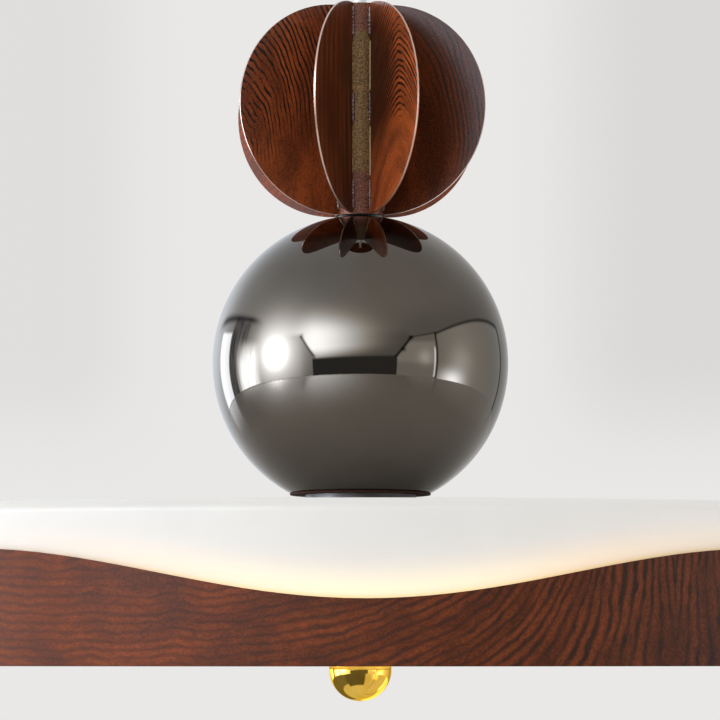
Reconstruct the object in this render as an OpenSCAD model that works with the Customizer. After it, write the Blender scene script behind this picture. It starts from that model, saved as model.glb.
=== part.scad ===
// Round pendant chandelier: a wave-edged walnut band round a white drum, a smoked mirror ball and a
// cluster of fins on a stem, all hanging on a rod from a swivel under a ceiling canopy.
// Millimetres, Z up. The origin is on the ceiling, midway between the two fixing slots.

/* [Hanging] */
// From the ceiling down to the band's lower edge
drop = 730; // [660:5:1600]
// Outside diameter of the rod
rod_d = 6; // [5.5:0.1:7]
// Bore of the rod, for the lead
rod_bore_d = 3; // [2.8:0.1:3.4]
// Diameter of the internal leads
lead_d = 2.4; // [1.6:0.1:2.6]
// Radius to which a lead is bent
lead_bend_r = 3; // [2.6:0.1:3.2]

/* [Ceiling bracket] */
// Width of the strap
strap_w = 18; // [14:1:24]
// Thickness of the strap
strap_t = 2; // [1.5:0.1:3]
// From the ceiling down to the underside of the strap's middle
strap_sink = 22; // [20:0.5:26]
// Half the length of the strap's sunk middle
strap_middle = 20; // [17:0.5:21]
// Distance between the two fixing slots
slot_spacing = 60; // [56:1:64]
// Width of a fixing slot
slot_w = 5; // [4:0.1:6]
// Length of a fixing slot, end to end
slot_length = 12; // [9:0.5:14]
// Length of the strap's bent-down end tabs
tab_length = 14; // [12:0.5:18]

/* [Canopy] */
// Outside diameter of the canopy
canopy_d = 120; // [118:1:160]
// Height of the canopy
canopy_h = 34; // [32:0.5:40]
// Wall of the canopy
canopy_wall = 1.2; // [0.8:0.1:2]
// Radius of the canopy's lower edge
canopy_edge_r = 4; // [2.5:0.5:8]
// Diameter of the canopy's side screws
canopy_screw_d = 4; // [3:0.5:5]
// From the ceiling down to the side screws
canopy_screw_drop = 8; // [7:0.5:9]
// Diameter of a side screw's knurled head
canopy_screw_head_d = 10; // [7:0.5:12]
// Length of a side screw's knurled head
canopy_screw_head_l = 6; // [3:0.5:10]

/* [Terminal block] */
// Length of the block, along the strap
block_l = 13; // [8:0.5:14]
// Width of the block
block_w = 16; // [12:0.5:18]
// Height of the block
block_h = 9; // [7:0.5:11]
// Diameter of the screw that holds it
block_screw_d = 3; // [2:0.5:3.5]
// From the ceiling down to the supply lead
supply_drop = 8; // [7.5:0.1:8.5]

/* [Swivel] */
// Diameter of the threaded stub
stub_d = 10; // [8:0.5:11]
// Bore of the stub, for the supply lead
stub_bore_d = 5; // [4:0.1:5.5]
// Diameter of the hub under the strap
hub_d = 18; // [17.6:0.1:20]
// How far the hub reaches below the canopy
hub_below = 2; // [1:0.5:4]
// Width of the nut across its flats
swivel_nut_af = 17; // [14:0.5:17.5]
// Thickness of the nut
swivel_nut_t = 6; // [4:0.5:6.5]
// Thickness of the washer under the nut
swivel_washer_t = 1.5; // [1:0.1:2]
// Diameter of the tilting joint's pin
pin_d = 5; // [4:0.1:6]
// From the hub's lower face to the pin's axis
pin_drop = 10; // [9.5:0.5:14]
// How far the pin's heads stand out from its shank
pin_head_out = 1; // [0.5:0.1:2]
// Thickness of the pin's heads
pin_head_t = 0.8; // [0.5:0.1:1.5]
// Thickness of each ear of the fork
ear_t = 3.5; // [3:0.1:4]
// Radius of the rounded ends of the ears and the tongue
ear_r = 6; // [5:0.1:6]
// Thickness of the tongue between the ears
tongue_t = 6; // [5:0.1:6.4]
// How much narrower the tongue is below its rounded end, on each side
tongue_relief = 0.8; // [0:0.1:1.2]
// From the pin's axis to the top of the rod's socket
socket_drop = 9; // [8.5:0.5:12]
// Outside diameter of the rod's socket
socket_d = 12; // [9:0.5:12]
// Length of the rod's socket
socket_l = 13; // [10:0.5:20]
// Thickness of the socket's closed end
socket_end_t = 2; // [1:0.5:4]

/* [Stem] */
// Outside diameter of the central stem
stem_d = 8; // [7.5:0.1:8.2]
// Bore of the central stem
stem_bore_d = 5; // [4.8:0.1:5.4]
// Length of the rod's spigot in the stem
spigot_l = 14; // [8:1:30]
// How far the stem ends below the fin tube's top
stem_recess = 1; // [0.5:0.1:5]

/* [Fins] */
// Radius of a fin's round edge
fin_r = 53.9; // [40:0.1:70]
// Length of the straight stretch between the tube and a fin's round edge
fin_straight = 0.15; // [0.05:0.05:6]
// Thickness of a fin
fin_t = 1.4; // [0.8:0.1:2.4]
// Turn of the cluster to the right, seen from the front
fin_turn = 2.8; // [-20:0.1:20]
// Outside diameter of the tube in the middle of the fins
fin_tube_d = 25.4; // [20:0.1:40]
// Wall of that tube
fin_tube_wall = 1.5; // [0.8:0.1:3]
// Length of the two plugs that centre the tube on the stem
plug_l = 12; // [8:0.5:18]
// Width of the slits between a fin and the tube
slit_w = 1.2; // [0.3:0.1:2]
// Length of each of the two slits
slit_l = 26; // [15:1:34]
// From the middle of the fin to the nearer end of each slit
slit_from_middle = 9; // [4:0.5:14]
// Gap between the fins' lower edges and the top of the ball
fin_lift = 0.3; // [0.2:0.05:2]
// Diameter of the set screw that holds the fin tube
set_screw_d = 2.5; // [2:0.1:2.6]

/* [Mirror ball] */
// Diameter of the ball
ball_d = 150; // [120:0.5:200]
// Thickness of the ball's shell
ball_shell = 1; // [0.6:0.1:2]
// Diameter of the flat cut at the bottom
ball_cut_d = 71.2; // [60:0.2:90]
// Thickness of the plate in the cut
seat_t = 0.8; // [0.6:0.1:2]
// Height of the rim that centres the plate in the ball
seat_rim_h = 3; // [2:0.5:6]
// Thickness of that rim
seat_rim_t = 1.5; // [1:0.1:3]
// Diameter of the collar between ball and drum
collar_d = 56; // [30:1:60]
// Height of the collar
collar_h = 6.5; // [3:0.1:20]

/* [Drum] */
// Outside diameter of the walnut band
band_d = 816; // [700:1:1000]
// Thickness of the band's steel
band_t = 1.2; // [0.8:0.1:2]
// Height of the band at the hollows of its wave
band_low = 25.9; // [22:0.1:32]
// Height of the band at the crests of its wave
band_high = 45.8; // [38:0.1:52]
// Number of waves round the band
wave_count = 8; // [4:1:12]
// Turn of the wave to the right, seen from the front
wave_turn = 0.3; // [-22:0.1:22]
// Width of the lip on which the shade stands
lip_w = 5; // [4:0.1:10]
// Clearance between the band and the shade
shade_clearance = 0.4; // [0.3:0.05:1]
// Thickness of the shade
shade_wall = 3; // [2:0.1:4]
// Height of the shade's side, lower edge to rim
shade_h = 63.4; // [61:0.1:90]
// Rise of the shade's top from rim to middle
shade_rise = 13.4; // [10:0.1:18]
// Width of the shade's flat ring outside what stands on it
shade_flat_margin = 2; // [1:0.5:6]
// Radius of the shade's rounded rim
shade_edge_r = 5; // [4.5:0.1:8]
// Diameter of the studs on the band
stud_d = 2.9; // [2.4:0.1:4]
// Height of the studs above the band's lower edge
stud_h = 26; // [23:0.5:30]
// Width of a stud's nut across its flats
stud_nut_af = 5.5; // [5.5:0.5:8]
// Thickness of a stud's nut
stud_nut_t = 2.4; // [1.6:0.1:4]

/* [Chassis] */
// Diameter of the chassis
chassis_d = 770; // [700:1:776]
// Thickness of the chassis
chassis_t = 1.2; // [1:0.1:1.6]
// Depth of the chassis's rim, below its underside
chassis_rim = 15.4; // [14.5:0.1:15.8]
// Height of the chassis's underside above the band's lower edge
chassis_lift = 34; // [33.6:0.1:35]
// Width of the chassis's nut across its flats
chassis_nut_af = 13; // [12:0.5:16]
// Thickness of the chassis's nut
chassis_nut_t = 6.5; // [5:0.5:7]
// Diameter of the washers on the stem
washer_d = 18; // [14:1:24]
// Thickness of the washers on the stem
washer_t = 1.6; // [1:0.1:2]
// Diameter of the washer under the shade's top
shade_washer_d = 40; // [30:1:60]
// Outside diameter of the spacers on the stem
spacer_d = 14; // [11:0.5:18]

/* [Drivers] */
// Length of a driver's housing
driver_l = 104; // [80:1:140]
// Width of a driver
driver_w = 40; // [34:1:50]
// Height of a driver
driver_h = 20; // [14:0.5:22]
// Length of the foot at each of its ends
foot_l = 8; // [7:0.5:12]
// Thickness of a foot
foot_t = 2.5; // [1.5:0.1:3]
// From a driver's side to the middle of a fixing screw
foot_screw_inset = 6; // [4:0.5:8]
// From the middle of the drivers to the lead between them
link_lead_y = 12; // [8:0.5:14]
// From the outer foot to the lead's hole in the chassis
grommet_from_foot = 14; // [10:1:20]
// From the stem's axis to the nearer foot
driver_from_axis = 60; // [40:1:80]
// Diameter of the small screws
small_screw_d = 3; // [2.5:0.1:3.5]

/* [LED boards] */
// Radius of the middle of the inner board ring
board_r = 107; // [95:1:120]
// Distance between board rings
board_step = 113; // [100:1:118]
// Width of a board ring
board_w = 14; // [10:0.5:18]
// Thickness of the boards and the strip
board_t = 1.2; // [0.8:0.1:1.6]
// Side of an LED
chip_w = 4; // [2.5:0.1:5]
// Height of an LED
chip_t = 0.9; // [0.5:0.1:1.2]
// Height of the side strip
strip_w = 10; // [6:0.5:10.5]
// Height of the strip's lower edge above the band's lower edge
strip_lift = 20; // [19.2:0.1:21]
// Number of LEDs on the side strip
strip_chips = 64; // [16:8:96]

/* [Diffuser and finial] */
// Height of the diffuser's underside above the band's lower edge
diffuser_lift = 15.2; // [14:0.1:15.4]
// Thickness of the diffuser
diffuser_t = 3; // [2:0.1:3.1]
// Clearance between the diffuser's edge and the lip
diffuser_clearance = 1.2; // [0.8:0.1:3]
// Thickness of the washer between finial and diffuser
finial_washer_t = 1; // [0.8:0.1:1.2]
// Diameter of the finial's ball
finial_d = 31.4; // [26:0.1:32]
// Depth of the ball's centre below the band's lower edge
finial_sink = 3.5; // [3:0.1:8]
// Diameter of the finial's neck
finial_neck_d = 14; // [11:0.5:17]
// How far the stem reaches below the band's lower edge
stem_below = 2; // [1:0.5:6]
// Spare depth of the finial's bore below the stem
finial_bore_spare = 2; // [1:0.5:4]

/* [Fits] */
// Radial clearance of a turning joint
running_gap = 0.05; // [0.02:0.01:0.08]
// Radial clearance of a fixed piece on its shaft
seat_gap = 0.05; // [0.02:0.01:0.1]
// Clearance between faces that pass or stand close to each other
free_gap = 0.2; // [0.1:0.05:0.3]
// How far a thread reaches past its nut or tab
thread_out = 1; // [0.5:0.1:1.5]
// Radial clearance of a lead in its hole
lead_hole_gap = 1; // [0.5:0.1:1.4]

/* [Hidden] */
$fn = 64;
round_fn = 240;
// How far a cut runs past the faces that it goes through
past = 1;
// How deep the LEDs are set into their board
chip_sink = 0.05;
// How far the band's turned blank stays under the crests
crest_trim = 0.05;
// A screw's head is this many times as wide as its shank
head_ratio = 2;
fin_count = 8;

walnut = "#5a2f1e";
bronze = "#5a4430";
smoked_chrome = "#5e5a55";
gold = "#c79a3a";
opal = "#f2efe9";
white_enamel = "#ececea";
nickel = "#b9b6b0";
steel = "#8d9094";
aluminium = "#c3c6c8";
white_plastic = "#e4e4e0";
lead_white = "#d8d6d0";

// Ceiling end
canopy_r = canopy_d / 2;
canopy_inner_r = canopy_r - canopy_wall;
tab_x = sqrt(pow(canopy_inner_r - free_gap, 2) - pow(strap_w / 2, 2));
slot_end = (slot_spacing + slot_length) / 2;
block_x = (slot_end + tab_x - strap_t) / 2 - thread_out;
hub_top = -strap_sink;
hub_bottom = -canopy_h - hub_below;
stub_top = -strap_sink + strap_t + swivel_washer_t + swivel_nut_t + thread_out;
pin_z = hub_bottom - pin_drop;
ear_x = tongue_t / 2 + free_gap;
socket_top = pin_z - socket_drop;
socket_bottom = socket_top - socket_l;
rod_top = socket_top - socket_end_t;

// Drum, from the band's lower edge upwards
band_z = -drop;
band_r = band_d / 2;
band_inner_r = band_r - band_t;
lip_r = band_inner_r - lip_w;
shade_r = band_inner_r - shade_clearance;
shade_inner_r = shade_r - shade_wall;
shade_z = band_z + band_t;
shade_rim_z = shade_z + shade_h;
shade_top_z = shade_rim_z + shade_rise;
stud_z = band_z + stud_h;
chassis_z = band_z + chassis_lift;
chassis_top = chassis_z + chassis_t;
chassis_r = chassis_d / 2;

// Ball and fins
seat_z = shade_top_z + collar_h;
cut_z = seat_z + seat_t;
ball_r = ball_d / 2;
cut_depth = sqrt(pow(ball_r, 2) - pow(ball_cut_d / 2, 2));
ball_z = cut_z + cut_depth;
ball_top = ball_z + ball_r;
cut_inner_r = sqrt(pow(ball_r - ball_shell, 2) - pow(cut_depth, 2));
fin_bottom = ball_top + fin_lift;
fin_z = fin_bottom + fin_r;
fin_top = fin_z + fin_r;
fin_tube_r = fin_tube_d / 2;
fin_inner_r = fin_tube_r + seat_gap;
set_screw_z = fin_top - plug_l / 2;
set_screw_turn = 90 + fin_turn;

// Stem, leads and diffuser
stem_r = stem_d / 2;
stem_hole_r = stem_r + seat_gap;
stem_top = fin_top - stem_recess;
stem_bottom = band_z - stem_below;
lead_r = lead_d / 2;
lead_z = chassis_top + foot_t + lead_r + free_gap;
lead_hole_r = lead_r + lead_hole_gap;
driver_x = driver_from_axis + foot_l;
driver_end = driver_x + driver_l;
small_screw_r = small_screw_d / 2;
small_hole_r = small_screw_r + seat_gap;
foot_screw_y = driver_w / 2 - foot_screw_inset;
board_bottom = chassis_z - board_t;
board_lead_x = board_r + board_step - board_w / 2;
board_lead_z = chassis_z - lead_r - free_gap;
grommet_x = driver_end + foot_l + grommet_from_foot;
strip_inner_r = chassis_r + running_gap;
strip_top = band_z + strip_lift + strip_w;
side_lead_x = strip_inner_r + lead_r + board_t / 2;
diffuser_z = band_z + diffuser_lift;
diffuser_r = lip_r - diffuser_clearance;
finial_top = diffuser_z - finial_washer_t;
finial_z = band_z - finial_sink;
finial_bore_end = stem_bottom - finial_bore_spare;

// A tube that stands on z0, with an outer and an inner radius
module tube(outer_r, inner_r, z0, z1) {
    translate([0, 0, z0]) difference() {
        cylinder(r = outer_r, h = z1 - z0);
        translate([0, 0, -past]) cylinder(r = inner_r, h = z1 - z0 + 2 * past);
    }
}

// A hexagonal nut that stands on z0
module nut(across_flats, bore_r, z0, thickness) {
    translate([0, 0, z0]) difference() {
        cylinder(r = across_flats / sqrt(3), h = thickness, $fn = 6);
        translate([0, 0, -past]) cylinder(r = bore_r, h = thickness + 2 * past);
    }
}

// A cylinder along X, from x0 to x1
module along_x(r, x0, x1) {
    translate([x0, 0, 0]) rotate([0, 90, 0]) cylinder(r = r, h = x1 - x0);
}

// A quarter ring of a lead round the origin, from the direction +X to +Z
module quarter_bend() {
    rotate([90, 0, 0]) rotate_extrude(angle = 90)
        translate([lead_bend_r, 0]) circle(r = lead_r, $fn = 32);
}

// A bend that comes along X at the origin and leaves downwards
module bend_down() {
    translate([0, 0, -lead_bend_r]) quarter_bend();
}

// A bend that comes down at the origin and leaves along X
module bend_out() {
    translate([lead_bend_r, 0, 0]) rotate([0, 180, 0]) quarter_bend();
}

// A quarter circle of points, from the angle a0 to a0 + 90
function quarter(cx, cy, r, a0, steps = 10) =
    [for (i = [0 : steps]) [cx + r * cos(a0 + 90 * i / steps), cy + r * sin(a0 + 90 * i / steps)]];

module ceiling_bracket() {
    half = [[0, -strap_sink], [strap_middle, -strap_sink], [strap_middle, -strap_t],
        [tab_x - strap_t, -strap_t], [tab_x - strap_t, -tab_length], [tab_x, -tab_length], [tab_x, 0],
        [strap_middle - strap_t, 0], [strap_middle - strap_t, strap_t - strap_sink],
        [0, strap_t - strap_sink]];
    color(steel) difference() {
        for (side = [0, 1]) mirror([side, 0, 0])
            translate([0, strap_w / 2, 0]) rotate([90, 0, 0]) linear_extrude(strap_w) polygon(half);
        translate([0, 0, -strap_sink - past])
            cylinder(r = stub_d / 2 + running_gap, h = strap_t + 2 * past);
        for (side = [-1, 1]) {
            for (end = [-1, 1])
                translate([side * slot_spacing / 2 + end * (slot_length - slot_w) / 2, 0, -strap_t - past])
                    cylinder(r = slot_w / 2, h = strap_t + 2 * past);
            translate([side * slot_spacing / 2, 0, -strap_t / 2])
                cube([slot_length - slot_w, slot_w, strap_t + 2 * past], center = true);
            translate([0, 0, -canopy_screw_drop]) rotate([0, 0, side < 0 ? 180 : 0])
                along_x(canopy_screw_d / 2 + seat_gap, tab_x - strap_t - past, tab_x + past);
        }
        translate([0, 0, -supply_drop])
            along_x(lead_hole_r, -strap_middle - past, -strap_middle + strap_t + past);
        translate([-block_x, 0, -strap_t - past])
            cylinder(r = block_screw_d / 2 + seat_gap, h = strap_t + 2 * past);
    }
}

module ceiling_canopy() {
    outer = quarter(canopy_r - canopy_edge_r, canopy_edge_r - canopy_h, canopy_edge_r, -90);
    inner = quarter(canopy_r - canopy_edge_r, canopy_edge_r - canopy_h, canopy_edge_r - canopy_wall, -90);
    mouth = hub_d / 2 + 2 * free_gap;
    profile = concat([[mouth, -canopy_h]], outer, [[canopy_r, 0], [canopy_inner_r, 0]],
        [for (i = [len(inner) - 1 : -1 : 0]) inner[i]], [[mouth, canopy_wall - canopy_h]]);
    color(walnut) difference() {
        rotate_extrude($fn = round_fn / 2) polygon(profile);
        for (turn = [0, 180]) rotate([0, 0, turn]) translate([0, 0, -canopy_screw_drop])
            along_x(canopy_screw_d / 2 + 3 * seat_gap, canopy_inner_r - past, canopy_r + past);
    }
}

module canopy_screws() {
    head_x = canopy_r + seat_gap;
    color(gold) for (turn = [0, 180]) rotate([0, 0, turn]) translate([0, 0, -canopy_screw_drop]) {
        along_x(canopy_screw_d / 2, tab_x - strap_t - 2 * thread_out, head_x + canopy_screw_head_l / 2);
        along_x(canopy_screw_head_d / 2, head_x, head_x + canopy_screw_head_l);
    }
}

module terminal_block() {
    color(white_plastic) translate([-block_x, 0, -strap_t]) difference() {
        translate([0, 0, -block_h / 2]) cube([block_l, block_w, block_h], center = true);
        translate([0, 0, -block_h - past])
            cylinder(r = block_screw_d / 2 + seat_gap, h = block_h + 2 * past);
    }
}

module terminal_screw() {
    color(steel) translate([-block_x, 0, -strap_t - block_h]) {
        cylinder(r = block_screw_d / 2, h = block_h + strap_t / 2);
        translate([0, 0, -block_screw_d / 2])
            cylinder(r = head_ratio * block_screw_d / 2, h = block_screw_d / 2);
    }
}

module supply_lead() {
    color(lead_white) {
        translate([0, 0, -supply_drop])
            along_x(lead_r, -block_x + block_l / 2, -lead_bend_r);
        translate([-lead_bend_r, 0, -supply_drop]) bend_down();
        translate([0, 0, hub_top]) cylinder(r = lead_r, h = -supply_drop - lead_bend_r - hub_top);
    }
}

module swivel_washer() {
    color(steel) tube(hub_d / 2, stub_d / 2 + running_gap, strap_t - strap_sink,
        strap_t - strap_sink + swivel_washer_t);
}

module swivel_nut() {
    color(steel) nut(swivel_nut_af, stub_d / 2 + seat_gap, strap_t - strap_sink + swivel_washer_t,
        swivel_nut_t);
}

module swivel_yoke() {
    color(nickel) difference() {
        union() {
            translate([0, 0, hub_top]) cylinder(r = stub_d / 2, h = stub_top - hub_top);
            translate([0, 0, hub_bottom]) cylinder(r = hub_d / 2, h = hub_top - hub_bottom);
            for (side = [-1, 1]) translate([side * (ear_x + ear_t / 2), 0, pin_z]) {
                translate([0, 0, pin_drop / 2]) cube([ear_t, 2 * ear_r, pin_drop], center = true);
                along_x(ear_r, -ear_t / 2, ear_t / 2);
            }
        }
        translate([0, 0, hub_bottom - past])
            cylinder(r = stub_bore_d / 2, h = stub_top - hub_bottom + 2 * past);
        translate([0, 0, pin_z])
            along_x(pin_d / 2 + seat_gap / 2, -ear_x - ear_t - past, ear_x + ear_t + past);
    }
}

module knuckle_pin() {
    reach = ear_x + ear_t + free_gap / 4;
    color(nickel) translate([0, 0, pin_z]) {
        along_x(pin_d / 2, -reach, reach);
        along_x(pin_d / 2 + pin_head_out, reach, reach + pin_head_t);
        along_x(pin_d / 2 + pin_head_out, -reach - pin_head_t, -reach);
    }
}

module rod_knuckle() {
    color(nickel) difference() {
        union() {
            translate([0, 0, pin_z]) along_x(ear_r, -tongue_t / 2, tongue_t / 2);
            translate([0, 0, pin_z - socket_drop / 2])
                cube([tongue_t, 2 * (ear_r - tongue_relief), socket_drop], center = true);
            translate([0, 0, socket_bottom]) cylinder(r = socket_d / 2, h = socket_l);
        }
        translate([0, 0, pin_z])
            along_x(pin_d / 2 + running_gap, -tongue_t / 2 - past, tongue_t / 2 + past);
        translate([0, 0, socket_bottom - past])
            cylinder(r = rod_d / 2 + seat_gap, h = rod_top - socket_bottom + past);
    }
}

module down_rod() {
    color(nickel) difference() {
        union() {
            translate([0, 0, stem_top]) cylinder(r = rod_d / 2, h = rod_top - stem_top);
            translate([0, 0, stem_top - spigot_l])
                cylinder(r = stem_bore_d / 2 - seat_gap, h = spigot_l);
        }
        translate([0, 0, stem_top - spigot_l - past]) cylinder(r = rod_bore_d / 2, h = drop);
    }
}

module lamp_lead() {
    top = rod_top - past;
    color(lead_white) {
        translate([0, 0, lead_z + lead_bend_r]) cylinder(r = lead_r, h = top - lead_z - lead_bend_r);
        translate([0, 0, lead_z + lead_bend_r]) bend_out();
        translate([0, 0, lead_z]) along_x(lead_r, lead_bend_r, driver_x);
    }
}

module central_stem() {
    color(steel) difference() {
        tube(stem_r, stem_bore_d / 2, stem_bottom, stem_top);
        translate([0, 0, lead_z]) along_x(lead_hole_r, 0, stem_r + past);
    }
}

// The set screw's hole, through the tube's wall and the upper plug
module set_screw_hole() {
    translate([0, 0, set_screw_z]) rotate([0, 0, set_screw_turn])
        along_x(set_screw_d / 2 + seat_gap / 2, 0, fin_tube_r + past);
}

module fin_tube() {
    color(bronze) difference() {
        tube(fin_tube_r, fin_tube_r - fin_tube_wall, ball_top, fin_top);
        set_screw_hole();
    }
}

module fin_plugs() {
    plug_r = fin_tube_r - fin_tube_wall - seat_gap;
    color(steel) difference() {
        for (z = [ball_top, fin_top - plug_l]) tube(plug_r, stem_hole_r, z, z + plug_l);
        set_screw_hole();
    }
}

// A half disc on edge, with two slits beside the tube and three tabs that are welded to it
module fin(index) {
    color(walnut) rotate([0, 0, -90 + fin_turn + 360 / fin_count * (index - 1.5)])
        translate([fin_inner_r, fin_t / 2, fin_z]) rotate([90, 0, 0]) linear_extrude(fin_t)
            difference() {
                union() {
                    translate([0, -fin_r]) square([fin_straight, 2 * fin_r]);
                    intersection() {
                        translate([fin_straight, 0]) circle(r = fin_r, $fn = round_fn);
                        translate([0, -fin_r]) square([fin_r + fin_straight + past, 2 * fin_r]);
                    }
                }
                for (side = [-1, 1])
                    translate([-past, side * (slit_from_middle + slit_l / 2) - slit_l / 2])
                        square([slit_w + past, slit_l]);
            }
}

module fin_set_screw() {
    color(steel) translate([0, 0, set_screw_z]) rotate([0, 0, set_screw_turn])
        along_x(set_screw_d / 2, stem_r + seat_gap, fin_tube_r);
}

module mirror_ball() {
    color(smoked_chrome) difference() {
        translate([0, 0, ball_z]) sphere(r = ball_r, $fn = round_fn);
        translate([0, 0, ball_z]) sphere(r = ball_r - ball_shell, $fn = round_fn);
        translate([0, 0, cut_z - ball_r]) cylinder(r = ball_r, h = ball_r);
        translate([0, 0, ball_z]) cylinder(r = stem_hole_r, h = ball_r + past);
    }
}

module ball_seat() {
    color("#6b3a26") difference() {
        union() {
            translate([0, 0, seat_z]) cylinder(r = ball_cut_d / 2, h = seat_t);
            tube(cut_inner_r - free_gap, cut_inner_r - free_gap - seat_rim_t, seat_z + seat_t,
                cut_z + seat_rim_h);
        }
        translate([0, 0, seat_z - past]) cylinder(r = stem_hole_r, h = seat_t + 2 * past);
    }
}

module ball_collar() {
    color(white_enamel) tube(collar_d / 2, stem_hole_r, shade_top_z, seat_z);
}

// The shade's top is flat under the collar and falls in a shallow cone to the rounded rim
module shade() {
    rim_r = shade_r - shade_edge_r;
    flat_r = max(collar_d, shade_washer_d) / 2 + shade_flat_margin;
    outer_edge = quarter(rim_r, shade_rim_z - shade_edge_r, shade_edge_r, 0);
    inner_edge = quarter(rim_r, shade_rim_z - shade_edge_r, shade_edge_r - shade_wall, 0);
    profile = concat([[shade_r, shade_z]], outer_edge,
        [[flat_r, shade_top_z], [stem_hole_r, shade_top_z], [stem_hole_r, shade_top_z - shade_wall],
            [flat_r, shade_top_z - shade_wall]],
        [for (i = [len(inner_edge) - 1 : -1 : 0]) inner_edge[i]], [[shade_inner_r, shade_z]]);
    color(opal) difference() {
        rotate_extrude($fn = round_fn) polygon(profile);
        at_crests() along_x(stud_d / 2 + free_gap, shade_inner_r - past, shade_r + past);
    }
}

// Places its child at each crest of the wave, at the height of the studs
module at_crests() {
    for (i = [0 : wave_count - 1])
        rotate([0, 0, -90 + wave_turn + 360 / wave_count * (i + 0.5)])
            translate([0, 0, stud_z]) children();
}

module shade_washer() {
    color(steel) tube(shade_washer_d / 2, stem_hole_r, shade_top_z - shade_wall - washer_t,
        shade_top_z - shade_wall);
}

module spacer_tube() {
    color(steel) difference() {
        tube(spacer_d / 2, stem_hole_r, chassis_top, shade_top_z - shade_wall - washer_t);
        translate([0, 0, lead_z]) along_x(lead_hole_r, 0, spacer_d / 2 + past);
    }
}

module wave_band() {
    crest = band_high - crest_trim;
    middle = (band_low + band_high) / 2;
    swing = (band_high - band_low) / 2;
    half_wave = 180 / wave_count;
    steps = 40;
    angles = [for (i = [0 : steps]) half_wave * (2 * i / steps - 1)];
    profile = [[lip_r, 0], [band_r, 0], [band_r, crest], [band_inner_r, crest], [band_inner_r, band_t],
        [lip_r, band_t]];
    hollow = concat([for (a = angles) [band_r * sin(a), middle - swing * cos(wave_count * a)]],
        [[band_r * sin(half_wave), band_high + past], [-band_r * sin(half_wave), band_high + past]]);
    color(walnut) {
        translate([0, 0, band_z]) difference() {
            rotate_extrude($fn = round_fn) polygon(profile);
            for (i = [0 : wave_count - 1]) rotate([0, 0, wave_turn + 360 / wave_count * i])
                translate([0, -band_r * cos(half_wave) / 2, 0]) rotate([90, 0, 0])
                    linear_extrude(band_r) polygon(hollow);
        }
        at_crests() along_x(stud_d / 2, shade_inner_r - stud_nut_t - past, band_inner_r + band_t / 2);
    }
}

module band_nuts() {
    color(steel) at_crests() translate([shade_inner_r - seat_gap, 0, 0]) rotate([0, -90, 0])
        nut(stud_nut_af, stud_d / 2 + seat_gap, 0, stud_nut_t);
}

module chassis() {
    profile = [[stem_hole_r, chassis_z], [chassis_r - chassis_t, chassis_z],
        [chassis_r - chassis_t, chassis_z - chassis_rim], [chassis_r, chassis_z - chassis_rim],
        [chassis_r, chassis_top], [stem_hole_r, chassis_top]];
    color(aluminium) difference() {
        rotate_extrude($fn = round_fn) polygon(profile);
        at_driver_screws() translate([0, 0, -past]) cylinder(r = small_hole_r, h = chassis_t + 2 * past);
        at_board_screws() translate([0, 0, -past]) cylinder(r = small_hole_r, h = chassis_t + 2 * past);
        translate([grommet_x, 0, chassis_z - past]) cylinder(r = 2 * lead_r, h = chassis_t + 2 * past);
    }
}

module chassis_washer() {
    color(steel) tube(washer_d / 2, stem_hole_r, chassis_z - washer_t, chassis_z);
}

module chassis_nut() {
    color(steel) nut(chassis_nut_af, stem_hole_r, chassis_z - washer_t - chassis_nut_t, chassis_nut_t);
}

// Places its child at each driver's two fixing screws, at the chassis's underside
module at_driver_screws() {
    for (side = [0, 1]) mirror([side, 0, 0]) {
        translate([driver_from_axis + foot_l / 2, -foot_screw_y, chassis_z]) children();
        translate([driver_end + foot_l / 2, foot_screw_y, chassis_z]) children();
    }
}

// One driver, on the chassis to the right of the stem
module driver() {
    difference() {
        union() {
            translate([driver_x, -driver_w / 2, chassis_top]) cube([driver_l, driver_w, driver_h]);
            translate([driver_from_axis, -driver_w / 2, chassis_top])
                cube([driver_l + 2 * foot_l, driver_w, foot_t]);
        }
        at_driver_screws() cylinder(r = small_screw_r + free_gap, h = chassis_t + foot_t + past);
    }
}

module down_light_driver() {
    color(white_plastic) driver();
}

module side_light_driver() {
    color(white_plastic) mirror([1, 0, 0]) driver();
}

module driver_screws() {
    color(steel) at_driver_screws() {
        cylinder(r = small_screw_r, h = chassis_t + foot_t);
        translate([0, 0, chassis_t + foot_t]) cylinder(r = head_ratio * small_screw_r, h = small_screw_r);
    }
}

module driver_link_lead() {
    color(lead_white) translate([0, link_lead_y, lead_z]) along_x(lead_r, -driver_x, driver_x);
}

module down_light_lead() {
    color(lead_white) {
        translate([0, 0, lead_z]) along_x(lead_r, driver_end, grommet_x - lead_bend_r);
        translate([grommet_x - lead_bend_r, 0, lead_z]) bend_down();
        translate([grommet_x, 0, board_lead_z + lead_bend_r])
            cylinder(r = lead_r, h = lead_z - board_lead_z - 2 * lead_bend_r);
        translate([grommet_x, 0, board_lead_z + lead_bend_r]) bend_out();
        translate([0, 0, board_lead_z])
            along_x(lead_r, grommet_x + lead_bend_r, board_lead_x - running_gap);
    }
}

module side_light_lead() {
    color(lead_white) mirror([1, 0, 0]) {
        translate([0, 0, lead_z]) along_x(lead_r, driver_end, side_lead_x - lead_bend_r);
        translate([side_lead_x - lead_bend_r, 0, lead_z]) bend_down();
        translate([side_lead_x, 0, strip_top]) cylinder(r = lead_r, h = lead_z - lead_bend_r - strip_top);
    }
}

// Places its child at each screw of the board's spokes, at the chassis's underside
module at_board_screws() {
    for (turn = [45 : 90 : 315]) rotate([0, 0, turn])
        translate([board_r + board_step / 2, 0, chassis_z]) children();
}

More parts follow.
